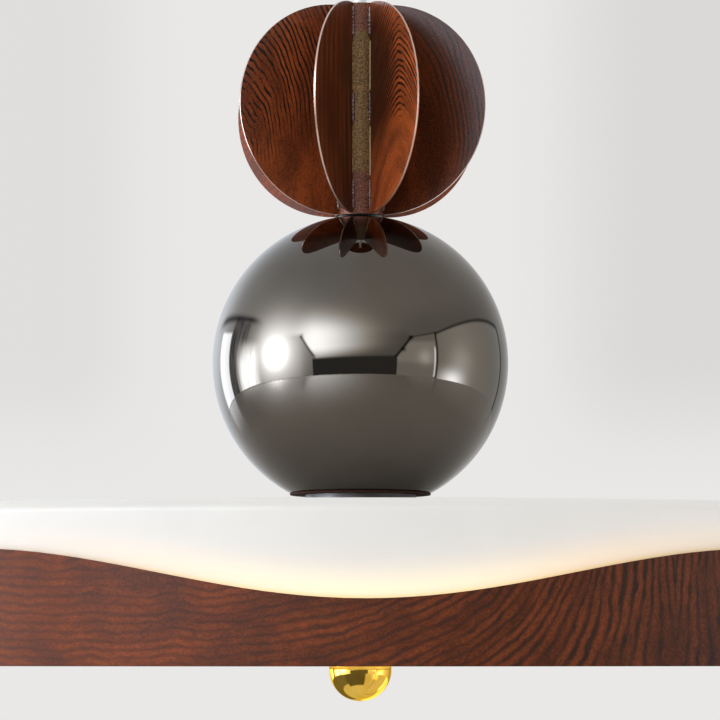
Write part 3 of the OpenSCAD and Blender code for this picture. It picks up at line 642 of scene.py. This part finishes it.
class STUDIO_OT_build(bpy.types.Operator):
    """Makes the camera, the backdrop, the floor, the lamps and the room that the metal mirrors"""

    bl_idname = "chandelier.studio"
    bl_label = "Studio"

    def execute(self, context):
        settings = context.scene.chandelier_studio
        context.scene.view_settings.view_transform = "Standard"
        self.make_camera(context)
        self.make_world(context, settings)
        self.make_floor(context, settings)
        self.make_lamps(context, settings)
        return {"FINISHED"}

    def make_camera(self, context):
        data = bpy.data.cameras.new("photo_camera")
        data.lens = CAMERA_LENS
        data.sensor_width = 36.0
        data.clip_start = 0.05
        data.clip_end = 60.0
        camera = bpy.data.objects.new("photo_camera", data)
        camera.location = CAMERA_PLACE
        camera.rotation_euler = (pi / 2 + CAMERA_PITCH, 0, 0)
        context.scene.collection.objects.link(camera)
        context.scene.camera = camera

    def make_world(self, context, settings):
        """A pale backdrop for the camera, the studio for mirrors and even light for the rest."""
        world = bpy.data.worlds.new("studio_world")
        context.scene.world = world
        graph = Graph(empty_tree(world))
        x, y, z = graph.split(graph.term("TexCoord", output="Generated"))

        # Darker above and on both sides of the pool of light behind the object, and most on the right
        dim = graph.step(abs(x + 0.004), 0.045, 0.09) * graph.step(z, 0.045, 0.092)
        backdrop = graph.mix(dim, settings.backdrop_color, settings.backdrop_side)
        fall = graph.step(x, -0.1, 0.1, "LINEAR") * settings.backdrop_fall
        backdrop = graph.mix(fall * dim, backdrop, (0, 0, 0))

        azimuth = graph.math("DEGREES", graph.turn(x, y))
        elevation = graph.math("DEGREES", graph.math("ARCSINE", z))
        mirrored = graph.group("mirrored_room", azimuth=azimuth, elevation=elevation)["Color"]
        even = graph.grey((1 - x * settings.room_fall) * settings.room_level)
        lights = [graph.term("Background", {"Color": color}) for color in (backdrop, mirrored, even)]
        ray = graph.terms(graph.add("LightPath"))
        shown = self.choose(graph, ray["Is Glossy Ray"], lights[2], lights[1])
        seen = graph.math("ADD", ray["Is Camera Ray"], ray["Is Transmission Ray"], clamp=True)
        shown = self.choose(graph, seen, shown, lights[0])
        graph.add("OutputWorld", {"Surface": shown})

    @staticmethod
    def choose(graph, share, first, second):
        return graph.term("MixShader", {0: share, 1: first, 2: second})

    def make_floor(self, context, settings):
        """A round floor that only shows its upper side and that no metal mirrors."""
        tool = bmesh.new()
        bmesh.ops.create_circle(tool, cap_ends=True, segments=96, radius=FLOOR_R)
        mesh = bpy.data.meshes.new("studio_floor")
        tool.to_mesh(mesh)
        tool.free()
        floor = bpy.data.objects.new("studio_floor", mesh)
        floor.location.z = -settings.floor_drop
        floor.visible_glossy = False
        context.scene.collection.objects.link(floor)
        material = bpy.data.materials.new("studio_floor")
        graph = Graph(empty_tree(material))
        pale = settings.backdrop_color
        place = graph.term("TexCoord", output="Object")
        cloud = graph.step(graph.noise(place, 1.3, 4.0), 0.2, 0.8)
        tint = graph.mix(cloud, pale, (0.78, 0.775, 0.765))
        matte = graph.term("BsdfDiffuse", {"Color": tint})
        glow = graph.term("Emission", {"Color": pale})
        seen = graph.term("LightPath", output="Is Camera Ray")
        shown = self.choose(graph, seen * 0.6, matte, glow)
        behind = graph.term("NewGeometry", output="Backfacing")
        shown = self.choose(graph, behind, shown, graph.term("BsdfTransparent"))
        graph.add("OutputMaterial", {"Surface": shown})
        mesh.materials.append(material)

    def make_lamps(self, context, settings):
        """Softboxes round the middle of the object: azimuth, elevation, distance, size, power and colour."""
        middle = Vector((0, 0, -0.55))
        lamps = [
            ("key_lamp", -88, 4, 2.4, 0.9, settings.key_power, (1.0, 0.985, 0.96)),
            ("fill_lamp", 70, 20, 2.6, 1.4, settings.fill_power, (1.0, 0.99, 0.98)),
            ("floor_bounce", 0, -60, 2.0, 1.6, settings.under_power, (1.0, 0.99, 0.97)),
        ]
        for name, azimuth, elevation, distance, size, power, color in lamps:
            data = bpy.data.lights.new(name, "AREA")
            data.energy = power
            data.color = color
            data.size = size
            lamp = bpy.data.objects.new(name, data)
            offset = sky_direction(azimuth, elevation) * distance
            lamp.location = middle + offset
            lamp.rotation_euler = (-offset).to_track_quat("-Z", "Y").to_euler()
            lamp.visible_camera = False
            lamp.visible_glossy = False
            context.scene.collection.objects.link(lamp)


def sky_direction(azimuth, elevation):
    """A direction: azimuth from the camera's side to the right and elevation above the level, in degrees."""
    a, e = radians(azimuth), radians(elevation)
    return Vector((sin(a) * cos(e), -cos(a) * cos(e), sin(e)))


class FINS_OT_finish(bpy.types.Operator):
    """Prints walnut on the fins, each with a figure of its own, and welds them to the tube"""

    bl_idname = "chandelier.fins"
    bl_label = "Fins"

    # Figure of each fin, in millimetres. Rings have their center out from the stem and up from the fin's
    # middle, and their stretch upward; arches have their top and how steeply they fall away beside it. Then
    # come spacing, warp, contrast and stroke, the direction in degrees in which the lines grow and where they
    # start and are full, and the ground's tone beside the tube and outside. These tones are partly the
    # print's
    # own and partly painted light and shade: on most fins the ground is darker beside the tube, a painted
    # shade in the corner between fin and tube, and the fins' tones differ partly as lit and shaded copies
    figures = {
        "fin_1": ("rings", (-260, 0), 1.0, 6.4, 5, 0.8, 60, 0, -200, -100, 0.95, 0.7),
        "fin_2": ("arches", (46, 0), 0.16, 3.3, 8, 2.3, 10, 90, -16, 8, 1.05, 3.2),
        "fin_3": ("rings", (-60, -24), 1.0, 2.6, 15, 1.7, 12, 20, -6, 30, 0.66, 0.6),
        "fin_4": ("arches", (44, 10), 0.2, 3.0, 5, 1.4, 12, 90, -30, 4, 1.1, 1.6),
        "fin_5": ("rings", (-200, -60), 1.0, 6.0, 5, 0.8, 50, 0, -200, -100, 0.9, 0.9),
        "fin_6": ("arches", (46, 30), 0.18, 3.0, 5, 1.4, 12, -90, -30, 6, 1.0, 1.4),
        "fin_7": ("rings", (120, 40), 1.0, 3.2, 5, 0.4, 16, -150, -60, -30, 1.3, 1.6),
        "fin_8": ("rings", (73, -32), 2.0, 2.1, 8, 1.6, 13, 66, -34, 10, 1.85, 1.75),
    }
    grown_from = 35.0  # out from the stem, where the lines' growth is counted from

    # A weld bead lies in the corner beside the fin and is a row of rings
    fin_half_thickness = 0.7 * MM
    bead_pitch = 0.5 * MM
    bead_sides = 8

    def execute(self, context):
        settings = context.scene.chandelier_finish
        for index, name in enumerate(FIN_NAMES):
            assign(self.walnut(name, index, settings), name, soft=0.22)
        assign(self.bronze(settings), "fin_tube", soft=0.15)
        self.weld(context)
        return {"FINISHED"}

    def walnut(self, name, index, settings):
        turn = fin_turn(name)
        graph = Surface("walnut_" + name, turn)
        out, side, up = graph.split(graph.place)
        low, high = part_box(name)
        up -= (low.z + high.z) / 2 / MM
        kind, center, shape, spacing, warp, contrast, stroke, *change = self.figures[name]
        growth, start, full, inner, outer = change
        across, above = out - center[0], up - center[1]
        if kind == "arches":
            ring = above + graph.math("POWER", abs(across), 1.6) * shape
            along = across * 1.6
        else:
            ring = graph.length(across, above / shape)
            along = graph.math("ARCTAN2", across, above / shape) * hypot(*center)
        growth = radians(growth)
        grown = (out - self.grown_from) * cos(growth) + up * sin(growth)
        # Painted shade, mostly: the ground's tone changes with the distance from the tube, darker beside it
        # on most fins
        from_tube = graph.length(out - TUBE_R / MM, (up - 14.0) * 0.8)
        figure = walnut_print(
            graph, settings, ring=ring, along=along, spacing=spacing, warp=warp, stroke=stroke,
            contrast=graph.step(grown, start, full) * contrast,
            seed=graph.math("SIGN", side) * 0.9 + 3.1 * index,
            tone=graph.blend(graph.step(from_tube, 20.0, 38.0), inner, outer),
        )

        # The coat is bare where the surface looks along the sheet and is near its middle plane
        normal = graph.term("TexCoord", output="Normal")
        sockets = {0: normal, 1: (-sin(turn), cos(turn), 0)}
        flat = abs(graph.term("VectorMath", sockets, "Value", operation="DOT_PRODUCT"))
        edge = graph.step(flat, 0.36, 0.2) * graph.step(abs(side), 0.5, 0.3)
        return finish_walnut(graph, settings, figure, settings.walnut_gloss, 0.42, edge)

    def bronze(self, settings):
        """Gold grit on dark brown, purple toward the ends, and a bright line on one side of each fin where it
        stands
        off the tube: the bare metal that the coat didn't reach, and painted light falling through the slit.
        """
        graph = Surface("speckled_bronze")
        x, y, up = graph.split(graph.place)
        grit = graph.noise(graph.place, 1.2, 3.0, 0.75)
        stain = graph.noise(graph.place, 0.09, 3.0)
        gold = graph.mix(graph.step(grit, 0.36, 0.64), (0.05, 0.028, 0.012), settings.bronze_color)
        purple = graph.mix(graph.step(grit, 0.36, 0.66), (0.04, 0.015, 0.009), (0.27, 0.09, 0.045))
        low, high = TUBE_LOW.z / MM, TUBE_HIGH.z / MM
        ends = graph.math("MAXIMUM", graph.step(up, high - 18, high - 8), graph.step(up, low + 26, low + 14))
        color = graph.mix(graph.step(ends + stain, 0.6, 1.0), gold, purple)
        # A bright line on one side of each fin, in the slots up the tube: bare metal, and painted light
        # falling through the slit
        eighth = tau / len(FIN_NAMES)
        turn = graph.math("ARCTAN2", y, x) - (fin_turn("fin_2") - 4 * tau)
        beside = (graph.math("MODULO", turn + eighth / 2, eighth) - eighth / 2) * (TUBE_R / MM)
        slots = graph.window(abs(up - (low + high) / 2), 9.5, 34.5, 1.5)
        bare_and_slit_light = graph.window(beside, -0.75, -0.3, 0.2) * slots
        color = graph.mix(bare_and_slit_light * graph.step(grit, 0.3, 0.42), color, (0.85, 0.72, 0.48))
        normal = graph.bump(grit, 0.6, 0.25)
        return graph.finish(0.3, base_color=color, metallic=0.25, roughness=grit * 0.25 + 0.36, normal=normal)

    def weld(self, context):
        """Beads on both sides of each fin, in three stretches up the tube."""
        graph = Surface("weld_bead")
        grit = graph.noise(graph.place, 1.2, 3.0, 0.7)
        color = graph.mix(graph.step(grit, 0.4, 0.65), (0.06, 0.03, 0.024), (0.30, 0.21, 0.18))
        normal = graph.bump(grit, 0.5, 0.2)
        material = graph.finish(base_color=color, metallic=0.5, roughness=0.38, normal=normal)
        radius = context.scene.chandelier_detail.weld_r
        tool = bmesh.new()
        for index, name in enumerate(FIN_NAMES):
            turn = fin_turn(name)
            low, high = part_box(name)
            middle, half = (low.z + high.z) / 2, (high.z - low.z) / 2
            stretches = [(-half + 2 * MM, -36 * MM), (-8 * MM, 8 * MM), (36 * MM, half - 1 * MM)]
            for side in (-1, 1):
                for number, (start, stop) in enumerate(stretches):
                    seed = index * 7 + number * 3 + side
                    self.bead(tool, turn, side, middle + start, middle + stop, radius, seed)
        new_piece("fin_welds", tool, material, "pendant", 60)

    def bead(self, tool, turn, side, low, high, radius, seed):
        """One weld bead up the corner between the tube and a side of a fin, with its ripples."""
        out = Vector((cos(turn), sin(turn), 0))
        across = Vector((-sin(turn), cos(turn), 0)) * side
        corner = out * TUBE_R + across * self.fin_half_thickness
        steps = int((high - low) / self.bead_pitch)
        angles = [tau * k / self.bead_sides for k in range(self.bead_sides)]
        rings = []
        for i in range(steps + 1):
            ripple = 0.5 + 0.5 * cos(tau * i / 4 + seed)
            drift = 0.5 + 0.5 * sin(0.31 * i + 1.7 * seed)
            end = min(i, steps - i, 3) / 3
            r = radius * (0.55 + 0.25 * ripple + 0.3 * drift) * sqrt(0.08 + 0.92 * end)
            center = corner + Vector((0, 0, low + i * self.bead_pitch))
            points = [center + out * r * cos(a) + across * r * sin(a) for a in angles]
            rings.append([tool.verts.new(point) for point in points])
        bridge(tool, rings, capped=True)


class BALL_OT_finish(bpy.types.Operator):
    """Turns the smoked mirror ball in fine steps and finishes its seat and collar"""

    bl_idname = "chandelier.ball"
    bl_label = "Mirror ball"

    shell = 1.0 * MM

    def execute(self, context):
        settings = context.scene.chandelier_finish
        detail = context.scene.chandelier_detail
        outer = self.meridian(BALL_R, 110)
        inner = self.meridian(BALL_R - self.shell, 60)
        chrome = metal_material(
            "smoked_chrome", settings.chrome_color, 0.015, 0.035, dull=(0.93, 0.93, 0.93),
            cloud=(0.03, 2.0, 0.3), relief=(0.02, 0.02),
        )
        tool = lathe(outer + inner[::-1], detail.ball_segments)
        ball = new_piece("smoked_ball", tool, chrome, "pendant")
        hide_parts("mirror_ball")
        assign(self.copper(), "ball_seat", soft=0.15)
        assign(plain_material("dark_enamel", (0.06, 0.045, 0.038), 0.4, 0.2), "ball_collar", soft=0.4)
        return {"FINISHED"}

    def meridian(self, radius, steps):
        """A profile from the ball's cut up to its bore."""
        top = degrees(acos(BORE_R / BALL_R))
        bottom = degrees(asin((BALL_LOW.z - BALL_Z) / radius))
        return arc(BALL_Z, radius, bottom, top, steps)

    def copper(self):
        graph = Surface("copper_brown")
        skin = graph.group("powder_skin", place=graph.place, size=0.8)
        color = graph.mix(skin["Fleck"], (0.04, 0.018, 0.012), (0.08, 0.034, 0.022))
        normal = graph.bump(skin["Height"], 0.3, 0.1)
        return graph.finish(0.06, base_color=color, roughness=0.7, normal=normal)


class SHADE_OT_finish(bpy.types.Operator):
    """Gives the opal shade its satin skin, and paints the warm glow of the strip inside above the wave, as
    emission and as a warm tint of the shade's colour
    """

    bl_idname = "chandelier.shade"
    bl_label = "Shade"

    def execute(self, context):
        settings = context.scene.chandelier_finish
        graph = Surface("opal_shade")
        skin = graph.group("moulded_skin", place=graph.place, color=settings.shade_color, amount=0.02)
        x, y, z = graph.split(graph.place)
        turn = graph.turn(x, y)
        radius = graph.length(x, y)
        outside = SHADE_R / MM
        wall = graph.step(radius, outside - 2.0, outside - 0.5)

        # Height above the wave, and how near a crest is
        crest = 0.5 - graph.math("COSINE", (turn - WAVE_TURN) * WAVE_COUNT) * 0.5
        low, high = (BAND_LOW.z + BAND_HOLLOW) / MM, BAND_HIGH.z / MM
        height = z - low - crest * (high - low)
        above = graph.math("MAXIMUM", height, 0.0)

        # Painted glow of the strip behind the band: close light, far light and the bright line along the
        # wave, dimmer at every second crest
        painted_glow_spread = graph.bell(above, 0.0, settings.glow_rise * 0.72) * wall
        far = graph.bell(above, 0.0, settings.glow_rise * 2.2) * wall
        painted_glow_line = graph.step(height, 1.9, 0.4) * wall
        warmth = 1 + graph.math("SINE", turn * (WAVE_COUNT / 2)) * crest * 0.5
        share = (painted_glow_spread * 0.9 + far * 0.1 + painted_glow_line * 0.2) * (1 - crest * 0.72)
        share *= graph.math("MINIMUM", warmth, 1.0)
        glow = graph.mix(graph.step(crest, 0.1, 0.8), settings.glow_color, settings.glow_crest_color)
        # Painted glow in the shade's colour: a warm tint above the wave and a yellow line along its edge,
        # weaker at the crests
        painted_tint_strength = (1 - crest * 0.6) * warmth
        tint = graph.mix(painted_glow_spread * painted_tint_strength * 0.8, skin["Color"], (0.93, 0.81, 0.63))
        material = graph.finish(
            0.55, base_color=graph.mix(painted_glow_line * painted_tint_strength * 0.7, tint, (0.9, 0.76, 0.4)),
            roughness=graph.blend(graph.step(radius, outside - 34.0, outside - 16.0), 0.17, 0.36),
            emission_color=graph.mix(share, (0, 0, 0), glow), emission_strength=settings.glow_strength,
            normal=graph.bump(skin["Height"], 0.05, 0.03),
        )
        assign(material, "shade")
        return {"FINISHED"}


class BAND_OT_finish(bpy.types.Operator):
    """Prints walnut round the wave-edged band"""

    bl_idname = "chandelier.band"
    bl_label = "Wave band"

    # The lines lie level at one place, in millimetres round the band from the camera's side, bend more and
    # more until they stand upright, and bend back. Where they lie level the ground is lighter and the lines
    # fainter, and where they stand upright darker: partly the print, and partly a painted sheen on the left
    figures = 12
    level_at = -90.0
    full_bend = 1.75

    def execute(self, context):
        settings = context.scene.chandelier_finish
        graph = Surface("walnut_band")
        x, y, z = graph.split(graph.place)
        turn = graph.turn(x, y)
        reach = tau * BAND_R / MM / self.figures
        run = graph.math("PINGPONG", turn * (BAND_R / MM) - self.level_at + 4 * reach, reach) / reach
        bend, up = run * run * self.full_bend, z - (BAND_LOW.z / MM + 26.0)
        figure = walnut_print(
            graph, settings, ring=graph.math("COSINE", bend) * up - self.reached(graph, run, 1) * reach,
            along=graph.math("SINE", bend) * up + self.reached(graph, run, 0) * reach,
            seed=x / 40.0 + y / 400.0, spacing=3.4, warp=10.0, stroke=9.0, blur=0.7,
            # Lighter and fainter where the lines lie level: partly the print, partly a painted sheen
            contrast=graph.blend(run, 0.55, 0.95), tone=graph.blend(run, 1.2, 0.8),
        )
        assign(finish_walnut(graph, settings, figure, settings.band_gloss, 0.15), "wave_band")
        assign(metal_material("zinc_nuts", settings.steel_color, 0.25, 0.45), "band_nuts")
        return {"FINISHED"}

    def reached(self, graph, run, order):
        """How far a line that bends with the square of its run has got: along with order 0, across with 1."""
        first, second = (
            graph.math("POWER", run, 2.0 * n + 1) * (self.full_bend ** n / ((2 * n + 1) * factorial(n)))
            for n in (order, order + 2)
        )
        return first - second


class DIFFUSER_OT_finish(bpy.types.Operator):
    """Lights the diffuser and polishes the finial and its washer"""

    bl_idname = "chandelier.diffuser"
    bl_label = "Diffuser and finial"

    # The lit rings of the boards behind it: where one lies and how far they are apart, in millimetres
    board_r = 107.0
    board_pitch = 113.0

    def execute(self, context):
        settings = context.scene.chandelier_finish
        graph = Surface("lit_diffuser")
        skin = graph.group("moulded_skin", place=graph.place, color=(0.9, 0.89, 0.87), amount=0.03)
        x, y, z = graph.split(graph.place)
        out = graph.length(x, y)
        ripple = graph.math("COSINE", (out - self.board_r) * (tau / self.board_pitch))
        level = (ripple * 0.04 + 0.9) * graph.step(out, 420.0, 300.0)
        glow = graph.mix(level, (0.25, 0.19, 0.12), (1.0, 0.93, 0.80))
        material = graph.finish(
            base_color=skin["Color"], roughness=0.4, emission_color=glow, emission_strength=0.3,
            normal=graph.bump(skin["Height"], 0.05, 0.03),
        )
        assign(material, "diffuser", soft=0.5)
        gold = metal_material(
            "polished_gold", settings.gold_color, 0.03, 0.08, 3.0, dull=(0.9, 0.85, 0.6),
            cloud=(0.15, 3.0, 0.35), relief=(0.06, 0.03), edge=(1.0, 0.8, 0.4),
        )
        assign(gold, "diffuser_washer")
        self.finial(gold)
        return {"FINISHED"}

    def finial(self, gold):
        """The finial again in fine steps: ball, neck and a fillet between them, with its blind bore."""
        neck_r = 7.0 * MM
        chamfer = 0.3 * MM
        bore_end = STEM_LOW.z - 2 * MM
        join = degrees(acos(neck_r / FINIAL_R))
        profile = arc(FINIAL_LOW.z + FINIAL_R, FINIAL_R, -90, join - 3, 60)
        profile += [
            (neck_r, profile[-1][1] + 0.9 * MM), (neck_r, FINIAL_HIGH.z - chamfer),
            (neck_r - chamfer, FINIAL_HIGH.z), (BORE_R, FINIAL_HIGH.z), (BORE_R, bore_end), (0, bore_end),
        ]
        piece = new_piece("finial_knob", lathe(profile, 96, closed=False), gold, "finial")
        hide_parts("finial_ball")


class CEILING_OT_finish(bpy.types.Operator):
    """Finishes the canopy, its strap and screws, the swivel and the rod"""

    bl_idname = "chandelier.ceiling"
    bl_label = "Ceiling end"

    def execute(self, context):
        settings = context.scene.chandelier_finish
        assign(self.walnut(settings), "ceiling_canopy", soft=0.2)
        zinc = metal_material("zinc_plate", settings.steel_color, 0.22, 0.42)
        assign(zinc, "ceiling_bracket", "swivel_washer", "swivel_nut", "terminal_screw", soft=0.2)
        nickel = metal_material("satin_nickel", settings.nickel_color, 0.12, 0.26, 12.0)
        assign(nickel, "swivel_yoke", "knuckle_pin", "rod_knuckle", soft=0.35)
        assign(plain_material("white_rod", (0.80, 0.79, 0.77), 0.3, 0.04), "down_rod")
        plastic = plain_material("terminal_plastic", (0.86, 0.86, 0.84), 0.45, 0.06)
        assign(plastic, "terminal_block", soft=0.5)
        lead = plain_material("lead_sheath", (0.80, 0.79, 0.76), 0.5, 0.08)
        assign(lead, "supply_lead", "lamp_lead", "driver_link_lead", "down_light_lead", "side_light_lead")
        self.knurled_screws(context, settings)
        return {"FINISHED"}

    def walnut(self, settings):
        graph = Surface("walnut_canopy")
        x, y, z = graph.split(graph.place)
        ring = graph.length((x - 14.0) * 1.2, y + z * 0.8 + 60.0)
        figure = walnut_print(
            graph, settings, ring=ring, along=x, seed=21.3, spacing=4.4, contrast=0.9, stroke=14.0
        )
        return finish_walnut(graph, settings, figure, settings.walnut_gloss, 0.3)

    def knurled_screws(self, context, settings):
        """The two canopy screws with a knurled, chamfered and slotless thumb head."""
        gold = metal_material("brass_screws", settings.gold_color, 0.12, 0.25)
        count = context.scene.chandelier_detail.knurls * 4
        head_r = (SCREWS_HIGH.z - SCREWS_LOW.z) / 2
        height = (SCREWS_HIGH.z + SCREWS_LOW.z) / 2
        start, end = CANOPY_R + 0.05 * MM, SCREWS_HIGH.x
        shank_r = 2.0 * MM
        knurl = 0.25 * MM

        # How far out from the stem, radius, and the share of the knurl's depth
        stations = [
            (CANOPY_R - 6.2 * MM, shank_r, 0), (start, shank_r, 0), (start, head_r - 1.2 * MM, 0),
            (start + 0.8 * MM, head_r - knurl, 0.2), (start + 1.1 * MM, head_r - knurl, 1),
            (end - 1.1 * MM, head_r - knurl, 1), (end - 0.7 * MM, head_r - knurl, 0.2),
            (end, head_r - 1.3 * MM, 0),
        ]
        tool = bmesh.new()
        for turn in (0, pi):
            place = Matrix.Rotation(turn, 4, "Z") @ Matrix.Translation((0, 0, height))
            place @= Matrix.Rotation(pi / 2, 4, "Y")
            rings = []
            for reach, radius, share in stations:
                ring = []
                for k in range(count):
                    a = tau * k / count
                    r = radius + knurl * share * (1 if k % 4 in (1, 2) else -1) * 0.95
                    ring.append(tool.verts.new(place @ Vector((r * cos(a), r * sin(a), reach))))
                rings.append(ring)
            bridge(tool, rings, capped=True)
        piece = new_piece("knurled_screws", tool, gold, "ceiling_mount", 25)
        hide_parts("canopy_screws")


class INSIDE_OT_finish(bpy.types.Operator):
    """Finishes the stem, the chassis, the drivers and the boards"""

    bl_idname = "chandelier.inside"
    bl_label = "Inner parts"

    def execute(self, context):
        settings = context.scene.chandelier_finish
        zinc = metal_material("zinc_fittings", settings.steel_color, 0.22, 0.4)
        assign(
            zinc, "central_stem", "fin_plugs", "fin_set_screw", "shade_washer", "spacer_tube",
            "chassis_washer", "chassis_nut", "driver_screws", "board_screws", "diffuser_spacer",
        )
        assign(metal_material("mill_sheet", (0.75, 0.76, 0.77), 0.28, 0.42), "chassis")
        case = plain_material("driver_case", (0.86, 0.86, 0.84), 0.5, 0.05)
        assign(case, "down_light_driver", "side_light_driver", soft=0.8)
        for name in ("led_down_board", "led_side_strip"):
            assign(self.board(name), name)
        return {"FINISHED"}

    def board(self, name):
        graph = Surface("board_" + name)
        skin = graph.group("moulded_skin", place=graph.place, color=(0.88, 0.88, 0.85), amount=0.05)
        traces = graph.step(graph.noise(graph.place, 0.4, 1.0), 0.49, 0.5)
        color = graph.mix(traces * 0.05, skin["Color"], (0.6, 0.5, 0.3))
        return graph.finish(base_color=color, roughness=0.35, normal=graph.bump(traces, 0.1, 0.05))


class CHANDELIER_PT_panel(bpy.types.Panel):
    """Lists the operators in the sidebar."""

    bl_idname = "CHANDELIER_PT_panel"
    bl_label = "Pendant chandelier"
    bl_space_type = "VIEW_3D"
    bl_region_type = "UI"
    bl_category = "Chandelier"

    def draw(self, context):
        for operator in OPERATORS:
            self.layout.operator(operator.bl_idname)


OPERATORS = (
    STUDIO_OT_build,
    CEILING_OT_finish,
    FINS_OT_finish,
    BALL_OT_finish,
    SHADE_OT_finish,
    BAND_OT_finish,
    INSIDE_OT_finish,
    DIFFUSER_OT_finish,
)
SETTINGS = {
    "chandelier_studio": StudioSettings,
    "chandelier_finish": FinishSettings,
    "chandelier_detail": DetailSettings,
}


def register():
    for name, group in SETTINGS.items():
        bpy.utils.register_class(group)
        setattr(bpy.types.Scene, name, PointerProperty(type=group))
    for operator in OPERATORS:
        bpy.utils.register_class(operator)
    bpy.utils.register_class(CHANDELIER_PT_panel)


def unregister():
    bpy.utils.unregister_class(CHANDELIER_PT_panel)
    for operator in reversed(OPERATORS):
        bpy.utils.unregister_class(operator)
    for name, group in SETTINGS.items():
        delattr(bpy.types.Scene, name)
        bpy.utils.unregister_class(group)


def make_groups():
    make_walnut_group()
    make_powder_group()
    make_metal_group()
    make_moulded_group()
    make_room_group()


def main():
    register()
    make_groups()
    bpy.ops.chandelier.studio()
    bpy.ops.chandelier.ceiling()
    bpy.ops.chandelier.fins()
    bpy.ops.chandelier.ball()
    bpy.ops.chandelier.shade()
    bpy.ops.chandelier.band()
    bpy.ops.chandelier.inside()
    bpy.ops.chandelier.diffuser()
    bpy.context.view_layer.update()


if __name__ == "__main__":
    main()
